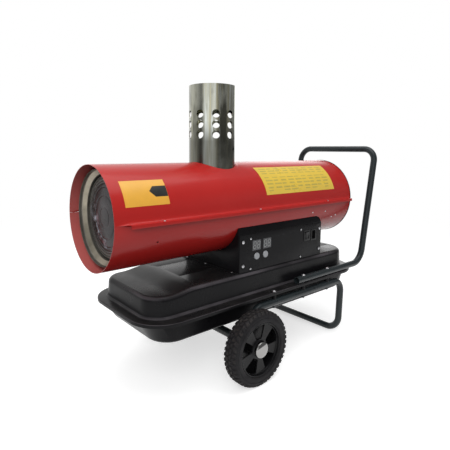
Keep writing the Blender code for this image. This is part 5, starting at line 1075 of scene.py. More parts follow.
def screw_head(name, axis, centre, face, side, radius, height, recess=True, steps=32):
    """Pan head with a cross recess; side is the way it stands out from its face."""
    top = face + side * height
    rise = side * height
    profile = [(0.0, top - rise * 0.06), (radius * 0.35, top), (radius * 0.70, top - rise * 0.12),
               (radius * 0.93, top - rise * 0.42), (radius, face + rise * 0.18), (radius * 0.97, face),
               (0.0, face)]
    item = lathe(name, profile, axis, centre, steps)
    if recess:
        half, arm = radius * 0.11, radius * 0.52
        low, high = sorted((top + rise * 0.2, top - rise * 0.55))
        outline = [(half, half), (arm, half), (arm, -half), (half, -half), (half, -arm), (-half, -arm),
                   (-half, -half), (-arm, -half), (-arm, half), (-half, half), (-half, arm), (half, arm)]
        subtracted(item, prism("recess", swung(outline, RECESS_TURN, centre), axis, low, high))
    return item


def screw_row(prefix, axis, centres, face, side, radius, height):
    """Numbered screws with their heads on one face."""
    for index, centre in enumerate(centres):
        head = screw_head(prefix + str(index + 1), axis, centre, face, side, radius, height)
        fixed(head, "zinc_plate")


RECESS_TURN = radians(28.0)
SEAM_SCREW_HEIGHT = 0.0022
# Distance from the rim and height over the floor of each rivet on the casing's near side
RIVETS = ((0.798, 0.489), (0.877, 0.487), (0.932, 0.459), (0.956, 0.465))
RIVET_RADIUS = 0.0028
RIVET_HEIGHT = 0.0014


class HEATER_OT_casing(bpy.types.Operator):
    """Builds both halves of the red casing with their seam flanges and screws"""
    bl_idname = "heater.casing"
    bl_label = "Casing"

    def execute(self, context):
        casing, flue = context.scene.heater_casing, context.scene.heater_flue
        fixed(upper_casing(casing, flue), "red_enamel", "upper_casing")
        fixed(lower_casing(casing), "red_enamel", "lower_casing")
        face = casing.axis_z + casing.seam + casing.sheet
        for prefix, side in SIDES:
            centres = [(along(distance), side * (casing.radius + casing.screw_out))
                       for distance in casing.screw_places]
            screw_row(prefix + "_seam_screw_", "Z", centres, face, 1, casing.screw_radius, SEAM_SCREW_HEIGHT)
        for index, (distance, z) in enumerate(RIVETS):
            fall = asin((casing.axis_z - z) / casing.radius)
            rivet = screw_head("side_rivet_" + str(index + 1), "Z", (0.0, 0.0), casing.radius - 0.0004, 1,
                               RIVET_RADIUS, RIVET_HEIGHT, recess=False, steps=24)
            rivet.data.transform(Matrix.Translation((along(distance), 0.0, casing.axis_z))
                                 @ Matrix.Rotation(pi / 2 + fall, 4, "X"))
            fixed(rivet, "zinc_plate")
        return {"FINISHED"}


# Flue and heat exchanger

def flue_wall(flue, casing, drum):
    """Outer face of the flue with its draught holes, as rings of faces round each hole."""
    shape = bmesh.new()
    across, up = 8, 6
    total = flue.columns * across
    centre_x = along(flue.place)
    cell_angle = 2 * pi / flue.columns
    top_band = flue.top_z - flue.first_down + flue.pitch / 2

    def point(angle, z):
        return shape.verts.new((centre_x + flue.radius * cos(angle), flue.radius * sin(angle), z))

    angles = [cell_angle * (column - 0.5) + cell_angle * step / across
              for column in range(flue.columns) for step in range(across)]
    levels = [flue.top_z - (flue.top_z - top_band) * step / 6 for step in range(7)]
    levels += [top_band - flue.pitch * step / up for step in range(1, flue.rows * up + 1)]
    bottom_band = levels[-1]
    rows = [[point(angle, z) for angle in angles] for z in levels]
    lower = []
    for step in range(1, 9):
        row = []
        for angle in angles:
            saddle = casing.axis_z + sqrt((drum.radius + 0.0003) ** 2 - (flue.radius * sin(angle)) ** 2)
            row.append(point(angle, bottom_band + (saddle - bottom_band) * step / 8))
        lower.append(row)
    band_start = 6
    skinned(shape, rows[:band_start + 1])
    skinned(shape, [rows[-1]] + lower)
    for row in range(flue.rows):
        for column in range(flue.columns):
            top, left = band_start + row * up, column * across
            columns = [(left + step) % total for step in range(across + 1)]
            border = [rows[top][place] for place in columns[:-1]]
            border += [rows[top + step][columns[-1]] for step in range(up)]
            border += [rows[top + up][place] for place in columns[:0:-1]]
            border += [rows[top + step][columns[0]] for step in range(up, 0, -1)]
            middle_angle = cell_angle * column
            middle_z = flue.top_z - flue.first_down - flue.pitch * row
            rings = [border]
            for share in (0.66, 0.33, 0.0):
                hole = []
                for vert in border:
                    angle = atan2(vert.co.y, vert.co.x - centre_x) - middle_angle
                    wide = flue.radius * ((angle + pi) % (2 * pi) - pi)
                    high = vert.co.z - middle_z
                    scale = flue.hole_radius / sqrt(wide ** 2 + high ** 2)
                    reach = scale + (1 - scale) * share
                    hole.append(point(middle_angle + wide * reach / flue.radius, middle_z + high * reach))
                rings.append(hole)
            skinned(shape, rings)
    used = {vert for face in shape.faces for vert in face.verts}
    bmesh.ops.delete(shape, geom=[vert for vert in shape.verts if vert not in used], context="VERTS")
    return to_object("flue_pipe", shape)


def chamber_profile(drum):
    """Chamber from its crown to its rear, with rings pressed in its domed front, and back inside."""
    radius, depth = drum.chamber_radius, drum.chamber_dome
    ball = (radius ** 2 + depth ** 2) / (2 * depth)
    front, rear = along(drum.chamber_front), along(drum.chamber_rear)

    def crown(ring):
        distance = front + ball - sqrt(ball ** 2 - ring ** 2)
        for place in drum.groove_places:
            gap = abs(ring - place)
            if gap < drum.groove_width:
                distance += drum.groove_depth * (0.5 + 0.5 * cos(pi * gap / drum.groove_width))
        return distance

    outside = [(radius * step / 60, crown(radius * step / 60)) for step in range(61)]
    outside += [(radius, rear), (drum.chamber_mouth, rear), (drum.chamber_mouth, rear - drum.chamber_sheet)]
    inner = radius - drum.chamber_sheet
    outside.append((inner, rear - drum.chamber_sheet))
    inside = [(inner * step / 20, front + drum.chamber_sheet * 1.6 + ball
               - sqrt(ball ** 2 - (inner * step / 20) ** 2)) for step in range(20, -1, -1)]
    return outside + inside


def spacers(inner, outer, angles, drum, casing):
    """Curved blocks between two shells, at angles in degrees from +Y."""
    centre = (0.0, casing.axis_z)
    blocks = []
    for start in drum.spacers:
        for angle in angles:
            outline = arc(outer, angle - 5.0, angle + 5.0, 6, centre)
            outline += arc(inner, angle + 5.0, angle - 5.0, 6, centre)
            blocks.append(prism("block", outline, "X", along(start), along(start + drum.spacer_length)))
    return blocks


class HEATER_OT_flue(bpy.types.Operator):
    """Builds the polished flue with its draught holes"""
    bl_idname = "heater.flue"
    bl_label = "Flue"

    def execute(self, context):
        scene = context.scene
        flue = scene.heater_flue
        centre = (along(flue.place), 0.0, 0.0)
        item = facing_out(flue_wall(flue, scene.heater_casing, scene.heater_drum), centre, "Z")
        thickened(item, flue.plate)
        pin = rod("hole", "X", (0.0, flue.top_z - flue.pin_down), flue.pin_radius, -0.01, 0.01)
        pin.data.transform(Matrix.Translation(centre) @ Matrix.Rotation(flue.pin_angle, 4, "Z")
                           @ Matrix.Translation((flue.radius, 0.0, 0.0)))
        subtracted(item, pin)
        fixed(item, "polished_steel", "flue_stub", sharp=50.0)
        return {"FINISHED"}


class HEATER_OT_exchanger(bpy.types.Operator):
    """Builds the heat exchanger drum and the combustion chamber's pressed front"""
    bl_idname = "heater.exchanger"
    bl_label = "Heat exchanger"

    def execute(self, context):
        drum, casing = context.scene.heater_drum, context.scene.heater_casing
        centre = (0.0, casing.axis_z)
        front, rear = along(drum.front), along(drum.rear)
        outer, inner, lip = drum.radius, drum.inner, drum.radius - drum.lip
        step, slope, sheet = front + drum.lip_depth, front + drum.slope, drum.plate
        skin = [(inner, slope), (lip, step), (lip + 0.001, step - 0.004), (outer - 0.003, front),
                (outer, front + 0.004)]
        skin = soften(skin, 0.002, 4) + [(outer, rear), (inner, rear)]
        shell = lathe("drum_shell", skin, "X", centre, 96, closed=True)
        hollow = [(inner + sheet, slope + sheet * 2), (lip, step + sheet * 2), (outer - sheet, step),
                  (outer - sheet, rear - sheet), (inner + sheet, rear - sheet)]
        subtracted(shell, lathe("hollow", hollow, "X", centre, 96, closed=True))
        blocks = spacers(outer - 0.0005, casing.radius - casing.sheet - 0.0003, (30.0, 150.0, 240.0, 300.0),
                         drum, casing)
        shell = merged("exchanger_shell", [shell] + blocks)
        fixed(shell, "dark_steel", "exchanger_drum", slot="dull_steel")
        strip = [(inner + 0.0004, slope + 0.0002), (inner + 0.0004, slope - 0.0008),
                 (lip - 0.0004, step - 0.0006), (lip - 0.0004, step + 0.0004)]
        strip = lathe("exchanger_ring", strip, "X", centre, 96, closed=True)
        fixed(strip, "warm_steel", slot="dull_steel")
        chamber = lathe("chamber", chamber_profile(drum), "X", centre, 96)
        blocks = spacers(drum.chamber_radius - 0.0005, inner - 0.0003, (90.0, 210.0, 330.0), drum, casing)
        chamber = merged("chamber_shell", [chamber] + blocks)
        fixed(chamber, "tinted_steel", "combustion_chamber", slot="dull_steel")
        return {"FINISHED"}


class HEATER_OT_guard(bpy.types.Operator):
    """Builds the rear guard from round wire"""
    bl_idname = "heater.guard"
    bl_label = "Rear guard"

    def execute(self, context):
        guard, casing = context.scene.heater_guard, context.scene.heater_casing
        low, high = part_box("rear_guard")[0].x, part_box("rear_guard")[1].x
        middle = (low + high) / 2
        centre = (0.0, casing.axis_z)
        rim = soften(band(guard.inner, guard.radius, low, high), 0.0009, 3, closed=True)
        parts = [lathe("rim", rim, "X", centre, 96, closed=True)]
        core = soften(band(0.0, guard.core, low, high), 0.0009, 3)
        parts.append(lathe("core", core, "X", centre, 64))
        for index in range(guard.rings):
            radius = guard.core + (guard.inner - guard.core) * (index + 1) / (guard.rings + 1)
            section = arc(guard.wire, 0.0, 324.0, 9, (radius, middle))
            parts.append(lathe("ring", section, "X", centre, 96, closed=True))
        for index in range(guard.spokes):
            angle = 2 * pi * index / guard.spokes + pi / 2
            ends = [Vector((middle, radius * cos(angle), casing.axis_z + radius * sin(angle)))
                    for radius in (guard.core - 0.002, guard.inner + 0.002)]
            parts.append(tube("spoke", ends, guard.wire, 12))
        fixed(merged("guard_wires", parts), "black_enamel", "rear_guard")
        return {"FINISHED"}


# Tank

def plan(tank, out):
    """Front, rear, half width and corner radii of the tank's plan grown outward."""
    front = along(tank.front) - out * tank.brim_front / tank.brim_side
    rear = along(tank.rear) + out * tank.brim_rear / tank.brim_side
    return front, rear, tank.half_width + out, tank.front_corner + out, tank.rear_corner + out


def top_z(tank, x):
    share = (x - along(tank.ramp_start)) / (tank.ramp_end - tank.ramp_start)
    share = min(max(share, 0.0), 1.0)
    return tank.top_z - tank.drop * (1 - share * share * (3 - 2 * share))


def tray_row(shape, tank, form, height, steps=12):
    """Near and far halves of one ring round a tray."""
    front, rear, half, front_r, rear_r = form
    points = [(front + front_r * (1 - cosine), half - front_r * (1 - sine))
              for sine, cosine in quarter(steps)]
    first = max(along(tank.ramp_start), front + front_r + 0.002)
    for step in range(13):
        points.append((first + (along(tank.ramp_end) - first) * step / 12, half))
    for step in range(steps + 1):
        angle = pi / 2 * (1 - step / steps)
        points.append((rear - rear_r * (1 - cos(angle)), half - rear_r * (1 - sin(angle))))
    rule = height if callable(height) else (lambda x: height)
    return [ring(shape, [(x, side * y, rule(x)) for x, y in points]) for side in (-1, 1)]


def tray(name, tank, outer, inner):
    """Pressed shell from its outer and inner skins, each given as rows of plan and height."""
    shape = bmesh.new()
    skins = [[tray_row(shape, tank, form, height) for form, height in levels] for levels in (outer, inner)]
    loops = [[near + far[::-1] for near, far in skin] for skin in skins]
    for skin, loop in zip(skins, loops):
        skinned(shape, loop)
        bridge(shape, *skin[-1], closed=False)
    bridge(shape, loops[0][0], loops[1][0])
    return to_object(name, shape)


def groove_cutter(tank, start, size, side):
    """Long shallow capsule that presses a groove in the tank's top."""
    half, deep = tank.groove_half, tank.groove_depth
    ball = (half ** 2 + deep ** 2) / (2 * deep)
    shape = bmesh.new()
    low, high = along(start) + half, along(start + size) - half
    rows = []
    for level in range(6):
        reach = (half + 0.0009) * (1 - level / 6)
        z = tank.top_z - deep + ball - sqrt(ball ** 2 - reach ** 2)
        outline = arc(reach, 90.0, 270.0, 10, (low, side)) + arc(reach, -90.0, 90.0, 10, (high, side))
        rows.append(ring(shape, [(x, y, z) for x, y in outline]))
    lid = ring(shape, [(vert.co.x, vert.co.y, tank.top_z + 0.004) for vert in rows[0]])
    bridge(shape, lid, rows[0])
    shape.faces.new(lid)
    skinned(shape, rows)
    shape.faces.new(rows[-1])
    return to_object("groove", shape)


class HEATER_OT_tank(bpy.types.Operator):
    """Builds both pressed halves of the fuel tank"""
    bl_idname = "heater.tank"
    bl_label = "Fuel tank"

    def execute(self, context):
        tank = context.scene.heater_tank
        self.upper_half(tank)
        self.lower_half(tank)
        return {"FINISHED"}

    def upper_half(self, tank):
        """Upper half, with its brim folded down and the grooves in its top."""
        brim, fold, root, edge, sheet = tank.brim_side, tank.fold, tank.root, tank.edge, tank.sheet
        lip_z, under = tank.brim_z - tank.brim_lip, tank.brim_z - sheet
        outer = [(brim, lip_z)] + arc(fold, 0.0, 90.0, 5, (brim - fold, tank.brim_z - fold))
        for degree in range(0, 91, 15):
            angle = radians(degree)
            outer.append((root * (1 - sin(angle)), tank.brim_z + root * (1 - cos(angle))))
        for sine, cosine in quarter(8):
            down = edge * (1 - sine)
            outer.append((-tank.draft - edge * (1 - cosine), lambda x, down=down: top_z(tank, x) - down))
        inner = [(brim - sheet, lip_z), (brim - sheet, tank.brim_z - fold), (brim - fold, under),
                 (root - sheet, under), (-sheet, tank.brim_z + root),
                 (-tank.draft - sheet, lambda x: top_z(tank, x) - edge),
                 (-tank.draft - edge, lambda x: top_z(tank, x) - sheet)]
        outer, inner = [[(plan(tank, out), z) for out, z in levels] for levels in (outer, inner)]
        upper = tray("tank_lid", tank, outer, inner)
        for side in tank.groove_sides:
            subtracted(upper, groove_cutter(tank, tank.groove_start, tank.groove_length, side))
        subtracted(upper, groove_cutter(tank, *tank.rear_groove))
        fixed(upper, "tank_enamel", "tank_upper", slot="black_enamel")

    def lower_half(self, tank):
        """Lower half, which hangs from its flat brim under the upper one."""
        sheet, edge = tank.sheet, tank.tray_edge
        low = tank.brim_z - sheet - SEAT_GAP
        flat = plan(tank, tank.brim_side - sheet - SEAT_GAP - tank.fold)
        front_top, rear_top = flat[0] + tank.inset, flat[1] - tank.inset
        front_low, rear_low = along(tank.tray_front), along(tank.tray_rear)

        def form(inset, height):
            share = (low - height) / (low - tank.bottom_z)
            front = front_top + (front_low - front_top) * share + inset
            rear = rear_top + (rear_low - rear_top) * share - inset
            half = tank.tray_top + (tank.tray_bottom - tank.tray_top) * share - inset
            return (front, rear, half, tank.front_corner - inset, tank.rear_corner - inset), height

        outer = [(flat, low), (flat, low - sheet), form(-0.002, low - sheet), form(0.0, low - sheet - 0.002)]
        for sine, cosine in quarter(6):
            outer.append(form(edge * (1 - cosine), tank.bottom_z + edge * (1 - sine)))
        inner = [form(sheet, low), form(sheet, tank.bottom_z + edge), form(edge, tank.bottom_z + sheet)]
        fixed(tray("tank_tray", tank, outer, inner), "black_enamel", "tank_lower")


class HEATER_OT_filler(bpy.types.Operator):
    """Builds the fuel cap with its ribbed grip"""
    bl_idname = "heater.filler"
    bl_label = "Fuel cap"

    def execute(self, context):
        tank = context.scene.heater_tank
        low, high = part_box("fuel_cap")
        radius = (high.x - low.x) / 2
        centre = (along(tank.cap_place), tank.cap_side)
        wall, roof = radius - 0.003, high.z - 0.006
        crown = [(0.0, 0.0), (radius * 0.62, 0.0), (radius * 0.70, 0.0012), (radius * 0.86, 0.0012),
                 (radius * 0.95, 0.0024), (radius - 0.0008, 0.0036)]
        profile = [(place, high.z - down) for place, down in crown]
        profile += [(radius - 0.0008, low.z), (wall, low.z), (wall, roof), (0.0, roof)]
        parts = [lathe("cap", soften(profile, 0.0008, 3), "Z", centre, 96)]
        outline = [(radius - 0.0012, -0.0010), (radius - 0.0001, -0.0006), (radius - 0.0001, 0.0006),
                   (radius - 0.0012, 0.0010)]
        for index in range(CAP_RIBS):
            rib = swung(outline, 2 * pi * index / CAP_RIBS, centre)
            parts.append(prism("rib", rib, "Z", low.z + 0.0008, high.z - 0.0045))
        settled(merged("cap_grip", parts), "black_plastic", "cap_turn_body", "fuel_cap")
        return {"FINISHED"}


CAP_RIBS = 36


# Handle, frame and bolts

class HEATER_OT_handle(bpy.types.Operator):
    """Builds the bent tube handle with its open ends"""
    bl_idname = "heater.handle"
    bl_label = "Handle"

    def execute(self, context):
        tubes, tank = context.scene.heater_tubes, context.scene.heater_tank
        side, low = tubes.side_y, tank.brim_z + SEAT_GAP + tubes.radius
        half = [(along(tubes.start), side, low), (along(tubes.foot), side, low),
                (along(tubes.top), side, tubes.top_z)]
        corners = [(x, -y, z) for x, y, z in half] + half[::-1]
        bends = (tubes.foot_bend, tubes.top_bend, tubes.top_bend, tubes.foot_bend)
        item = tube("handle_tube", rounded_path(corners, bends, 16), tubes.radius, 32, tubes.wall)
        fixed(item, "dark_grey_tube", "handle")
        return {"FINISHED"}


class HEATER_OT_frame(bpy.types.Operator):
    """Builds the support frame with its axle tube, sleeves and welded nuts"""
    bl_idname = "heater.support"
    bl_label = "Support frame"

    def execute(self, context):
        scene = context.scene
        tubes, wheels, tank = scene.heater_tubes, scene.heater_wheels, scene.heater_tank
        side, axle = tubes.side_y, along(wheels.place)
        half = [(axle, side, wheels.radius), (along(tubes.rail_front), side, tubes.rail_z),
                (along(tubes.leg), side, tubes.rail_z), (along(tubes.leg_foot), side, tubes.radius)]
        corners = [(x, -y, z) for x, y, z in half] + half[::-1]
        front, rear, foot = tubes.bends
        path = rounded_path(corners, (front, rear, foot, foot, rear, front), 14)
        fixed(tube("frame_tube", path, tubes.radius, 32), "dark_grey_tube", "support_frame")
        profile = band(wheels.bore + 0.0002, tubes.axle_tube, -tubes.axle_half, tubes.axle_half)
        sleeve = lathe("axle_sleeve", soften(profile, 0.001, 3, closed=True), "Y", (axle, wheels.radius), 48,
                       closed=True)
        fixed(sleeve, "dark_grey_tube")
        profile = band(tubes.bolt_shank + 0.0004, tubes.sleeve, tubes.rail_z,
                       tank.brim_z - tank.sheet * 2 - SEAT_GAP * 2)
        profile = soften(profile, 0.0006, 2, closed=True)
        low = tubes.rail_z - tubes.radius - tubes.nut_height
        sleeves, nuts = [], []
        for centre in [(along(distance), edge * side) for edge in (-1, 1) for distance in tubes.bolt_places]:
            sleeves.append(lathe("sleeve", profile, "Z", centre, 32, closed=True))
            nuts.append(bevelled(rod("nut", "Z", centre, tubes.nut, low, tubes.rail_z, 6), 0.0006))
        fixed(merged("frame_sleeves", sleeves), "black_enamel")
        fixed(merged("frame_nuts", nuts), "dark_grey_tube")
        return {"FINISHED"}


class HEATER_OT_bolts(bpy.types.Operator):
    """Builds the bolts that hold the handle and the tank on the frame"""
    bl_idname = "heater.bolts"
    bl_label = "Frame bolts"

    def execute(self, context):
        tubes = context.scene.heater_tubes
        radius, height, shank = tubes.bolt_radius, tubes.bolt_height, tubes.bolt_shank
        for prefix, side in SIDES:
            for distance, node in zip(tubes.bolt_places, ("_frame_bolt", "_handle_bolt_1", "_handle_bolt_2")):
                low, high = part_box(prefix + node)
                seat = high.z - height
                profile = [(0.0, high.z)]
                for sine, cosine in quarter(8, 1):
                    profile.append((radius * sine, seat + height * 0.22 + height * 0.78 * cosine))
                profile += [(radius, seat), (shank, seat), (shank, low.z), (0.0, low.z)]
                centre = (along(distance), side * tubes.side_y)
                item = lathe(prefix + node + "_head", profile, "Z", centre, 32)
                fixed(item, "zinc_plate", prefix + node)
        return {"FINISHED"}


# Wheels

# Sections of half a tyre: radius over the bead and depth from the face, then radius under the crown and depth
SIDEWALL = ((0.0, 0.0022), (0.0022, 0.0004), (0.007, 0.0), (0.0125, 0.0), (0.0135, 0.0012), (0.0160, 0.0012),
            (0.0170, 0.0), (0.0205, 0.0004))
SHOULDER = ((0.0055, 0.0022), (0.0022, 0.0058), (0.0006, 0.0105), (0.0, 0.0160))
# A tread block's half width as a share of its row, half length and lean as shares of the pitch, top as a share
# of its foot, and height of its foot from the tread's face
BLOCK_HALF = 0.40
BLOCK_ROUND = 0.34
BLOCK_LEAN = 0.12
BLOCK_TOP = 0.80
BLOCK_ROOT = -0.0035
# How far the outer rows of tread blocks reach round the shoulder, and how deep
SHOULDER_REACH = 0.0125
SHOULDER_DROP = 0.0062


def tyre(prefix, side, wheels):
    """Tyre with staggered tread blocks and a ridged sidewall."""
    centre = (along(wheels.place), wheels.radius)
    inner, width = wheels.inner_y, wheels.width
    crown = wheels.radius - wheels.tread_depth
    half = [(wheels.tyre_inner + rise, depth) for rise, depth in SIDEWALL]
    half += [(crown - fall, depth) for fall, depth in SHOULDER]
    profile = [(radius, side * (inner + depth)) for radius, depth in half]
    profile += [(radius, side * (inner + width - depth)) for radius, depth in half[::-1]]
    parts = [lathe("carcass", profile, "Y", centre, 128, closed=True)]
    shape = bmesh.new()
    pitch = 2 * pi / wheels.blocks
    half_width = width / wheels.rows * BLOCK_HALF
    for row in range(wheels.rows):
        offset = width * (row + 0.5) / wheels.rows
        outer_row = row in (0, wheels.rows - 1)
        lean = pitch * BLOCK_LEAN * (1 if row % 2 else -1)
        for index in range(wheels.blocks):
            middle = pitch * (index + 0.5 * (row % 2))
            rings = []
            for height, shrink in ((BLOCK_ROOT, 1.0), (0.0, BLOCK_TOP)):
                points = []
                for across, round_share in ((-1, -1), (1, -1), (1, 1), (-1, 1)):
                    away = offset + across * half_width * shrink
                    edge = min(away, width - away)
                    drop = SHOULDER_DROP * (1 - min(edge / SHOULDER_REACH, 1.0)) ** 2 if outer_row else 0.0
                    radius = wheels.radius + height - drop
                    angle = middle + round_share * pitch * BLOCK_ROUND * shrink + lean * across
                    points.append(spot("Y", side * (inner + away), centre[0] + radius * cos(angle),
                                       centre[1] + radius * sin(angle)))
                rings.append(ring(shape, points))
            bridge(shape, *rings)
            shape.faces.new(rings[0])
            shape.faces.new(rings[1])
    parts.append(to_object("tread", shape))
    return merged(prefix + "_tyre_rubber", parts)


def rim(prefix, side, wheels):
    """Moulded rim with a closed back, rounded windows in its web and a raised hub."""
    centre = (along(wheels.place), wheels.radius)
    inner, outer = wheels.inner_y, wheels.inner_y + wheels.width
    hub, bore, lip_depth = wheels.hub, wheels.bore, wheels.lip_depth
    edge = wheels.tyre_inner * cos(pi / 36) - 0.0003
    barrel = edge - wheels.lip
    web_out = outer - wheels.web_inset
    web_in = web_out - wheels.web
    hub_out = outer - wheels.hub_inset
    back = inner + wheels.back_inset
    profile = [(bore, inner), (hub, inner), (hub, back), (barrel, back), (barrel, inner + lip_depth),
               (edge, inner + lip_depth), (edge, outer - lip_depth), (barrel, outer - lip_depth),
               (barrel - 0.002, web_out + 0.0006), (barrel - 0.005, web_out), (hub + 0.004, web_out),
               (hub, web_out + 0.003), (hub, hub_out), (bore, hub_out)]
    profile = [(radius, side * distance) for radius, distance in soften(profile, 0.0014, 3, closed=True)]
    item = lathe(prefix + "_rim_disc", profile, "Y", centre, 96, closed=True)
    hollow = band(hub, barrel, side * (back + wheels.back), side * web_in)
    subtracted(item, lathe("hollow", hollow, "Y", centre, 96, closed=True))
    low, high = sorted((side * (web_in - 0.004), side * (web_out + 0.004)))
    wide, narrow = wheels.window_wide, wheels.window_narrow
    top, foot = wheels.window_outer, wheels.window_inner
    outline = [(-narrow, foot), (narrow, foot), (wide, top * 0.93), (wide * 0.5, top * 0.995),
               (0.0, top * 1.01), (-wide * 0.5, top * 0.995), (-wide, top * 0.93)]
    outline = [(centre[0] + u, centre[1] + v) for u, v in soften(outline, 0.0035, 5, closed=True)]
    for index in range(wheels.windows):
        window = prism("window", outline, "Y", low, high)
        angle = wheels.window_start + 2 * pi * index / wheels.windows - pi / 2
        subtracted(item, turned(window, "Y", -angle, (centre[0], 0.0, centre[1])))
    return item


def hub_cap(prefix, side, wheels):
    centre = (along(wheels.place), wheels.radius)
    hub_out = wheels.inner_y + wheels.width - wheels.hub_inset
    seat = hub_out + 0.0003
    start = hub_out - 0.004
    skirt = wheels.hub + 0.0003
    edge = seat + wheels.cap_sheet
    dome = [(wheels.cap_radius * cosine, edge + wheels.cap_dome * sine) for sine, cosine in quarter(14)]
    profile = [(0.0, seat + wheels.cap_dome - wheels.cap_sheet), (skirt * 0.8, seat + wheels.cap_dome / 2),
               (skirt * 0.8, seat), (skirt, seat), (skirt, start), (wheels.cap_radius, start)] + dome
    return lathe(prefix + "_hub_dome", [(radius, side * place) for radius, place in profile], "Y", centre, 64)


class HEATER_OT_wheels(bpy.types.Operator):
    """Builds both wheels with treaded tyres, open rims and bright hub caps"""
    bl_idname = "heater.wheels"
    bl_label = "Wheels"

    def execute(self, context):
        wheels = context.scene.heater_wheels
        for prefix, side in SIDES:
            body = prefix + "_wheel"
            settled(tyre(prefix, side, wheels), "tyre_rubber", body, prefix + "_tyre", sharp=40.0)
            settled(rim(prefix, side, wheels), "gloss_black_plastic", body, prefix + "_rim")
            settled(hub_cap(prefix, side, wheels), "chrome", body, prefix + "_hub_cap")
        return {"FINISHED"}


# Controls

def box_outline(box, casing, base_z, inset):
    """Section of the control box, closed at its top by the casing's saddle, as (y, z)."""
    half, low = box.half_width - inset, base_z + inset
    shoulder = box.shoulder_z - inset
    clear = casing.radius + SEAT_GAP + inset
    drop = casing.axis_z - shoulder if inset else box.top_down
    start = 180.0 + asin(drop / clear) * 180.0 / pi
    saddle = arc(clear, start, 540.0 - start, 48, (0.0, casing.axis_z))
    sides = [saddle[-1], (half, shoulder), (half, low), (-half, low), (-half, shoulder), saddle[0]]
    return soften(sides, 0.0022, 4)[1:-1] + saddle


class HEATER_OT_box(bpy.types.Operator):
    """Builds the control box and its base flange"""
    bl_idname = "heater.box"
    bl_label = "Control box"

    def execute(self, context):
        box, casing = context.scene.heater_controls, context.scene.heater_casing
        base_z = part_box("control_box")[0].z
        front, rear = along(box.front), along(box.rear)
        beyond = box.half_width + CUT_PAST
        shell = prism("box_shell", box_outline(box, casing, base_z, 0.0), "X", front, rear)
        bevelled(shell, 0.0012, 2, 50.0)
        hollow = box_outline(box, casing, base_z, box.plate)
        subtracted(shell, prism("hollow", hollow, "X", front + box.plate, rear - box.plate))
        middle, size = ((front + rear) / 2, PANEL_OPENING_Z), (rear - front - 0.045, 0.084)
        opened(shell, middle, size, -beyond, -box.half_width + CUT_PAST, 0.003)
        top, reach, drop = casing.axis_z - box.top_down, box.corner_reach, box.corner_drop
        outline = [(rear + CUT_PAST, top + CUT_PAST), (rear - reach, top + CUT_PAST)]
        for sine, cosine in quarter(12):
            outline.append((rear - reach + reach * sine, top - drop + drop * cosine))
        outline.append((rear + CUT_PAST, top - drop))
        subtracted(shell, prism("corner", outline, "Y", -beyond, beyond))
        width = 2 * (box.half_width - box.plate)
        middle, size = (front - box.flange / 2 + 0.001, 0.0), (box.flange + 0.002, width)
        flange = plate("flange", "Z", middle, size, base_z, base_z + box.plate, 0.002)
        fixed(merged("box_body", [shell, flange]), "black_enamel", "control_box")
        centres = [(front - box.flange / 2, y) for y in box.base_sides]
        screw_row("base_screw_", "Z", centres, base_z + box.plate, 1, box.small_radius, box.small_height)
        return {"FINISHED"}


def opened(item, middle, size, low, high, corner):
    """Cuts a rounded opening through a piece along Y."""
    return subtracted(item, plate("hole", "Y", middle, size, low, high, corner))


# Height of the middle of the control box's opening behind the panel
PANEL_OPENING_Z = 0.385


class HEATER_OT_panel(bpy.types.Operator):
    """Builds the control panel with its openings and screws"""
    bl_idname = "heater.panel"
    bl_label = "Control panel"

    def execute(self, context):
        box = context.scene.heater_controls
        low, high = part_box("control_panel")
        item = plate("panel_plate", "Y", *seen_along_y(low, high), low.y, high.y, 0.002, 0.0004)
        through = (low.y - CUT_PAST, high.y + CUT_PAST)
        for distance in box.display_places:
            opened(item, (along(distance), box.display_z), grown(box.display_size, 0.0006), *through, 0.0008)
        for distance in box.button_places:
            outline = arc(box.button_radius + 0.0006, 0.0, 352.5, 47, (along(distance), box.button_z))
            subtracted(item, prism("hole", outline, "Y", *through))
        opened(item, (along(box.rocker_place), box.rocker_z), grown(box.rocker_size, 0.0064), *through, 0.001)
        opened(item, (along(box.inlet_place), box.inlet_z), grown(box.inlet_size, 0.0050), *through, 0.001)
        fixed(item, "black_enamel", "control_panel")
        face = -box.face_y - SEAT_GAP
        centres = [(along(distance), z) for distance in box.screw_places for z in box.screw_heights]
        for index, centre in enumerate(centres):
            name = "panel_screw_" + str(index + 1)
            head = screw_head(name + "_head", "Y", centre, face, -1, box.screw_radius, box.screw_height)
            shank = rod("shank", "Y", centre, 0.0026, face, face + 0.008)
            fixed(merged(name + "_pan", [head, shank]), "zinc_plate", name)
        centres = [(along(distance), z) for distance in box.small_places for z in box.small_heights]
        screw_row("small_screw_", "Y", centres, face, -1, box.small_radius, box.small_height)
        return {"FINISHED"}


# Place of each digit from the display's middle, and its half width and half height, as shares of the display
DIGIT_PLACE = 0.225
DIGIT_HALF = (0.135, 0.34)
SEGMENT_HALF = 0.0012
SEGMENT_GAP = 0.0005
DIGIT_LEAN = 0.0012
# Ends of a figure eight's bars, as shares of its half width and half height
EIGHT = (((-1, 1), (1, 1)), ((-1, 0), (1, 0)), ((-1, -1), (1, -1)), ((-1, -1), (-1, 0)), ((-1, 0), (-1, 1)),
         ((1, -1), (1, 0)), ((1, 0), (1, 1)))


def segment(name, start, end, low, high):
    """One bar of a digit, pointed at both ends."""
    start, end = Vector(start), Vector(end)
    way = (end - start).normalized()
    side = Vector((-way.y, way.x)) * SEGMENT_HALF
    way *= SEGMENT_HALF
    outline = [start, start + way + side, end - way + side, end, end - way - side, start + way - side]
    return prism(name, [tuple(point) for point in outline], "Y", low, high)


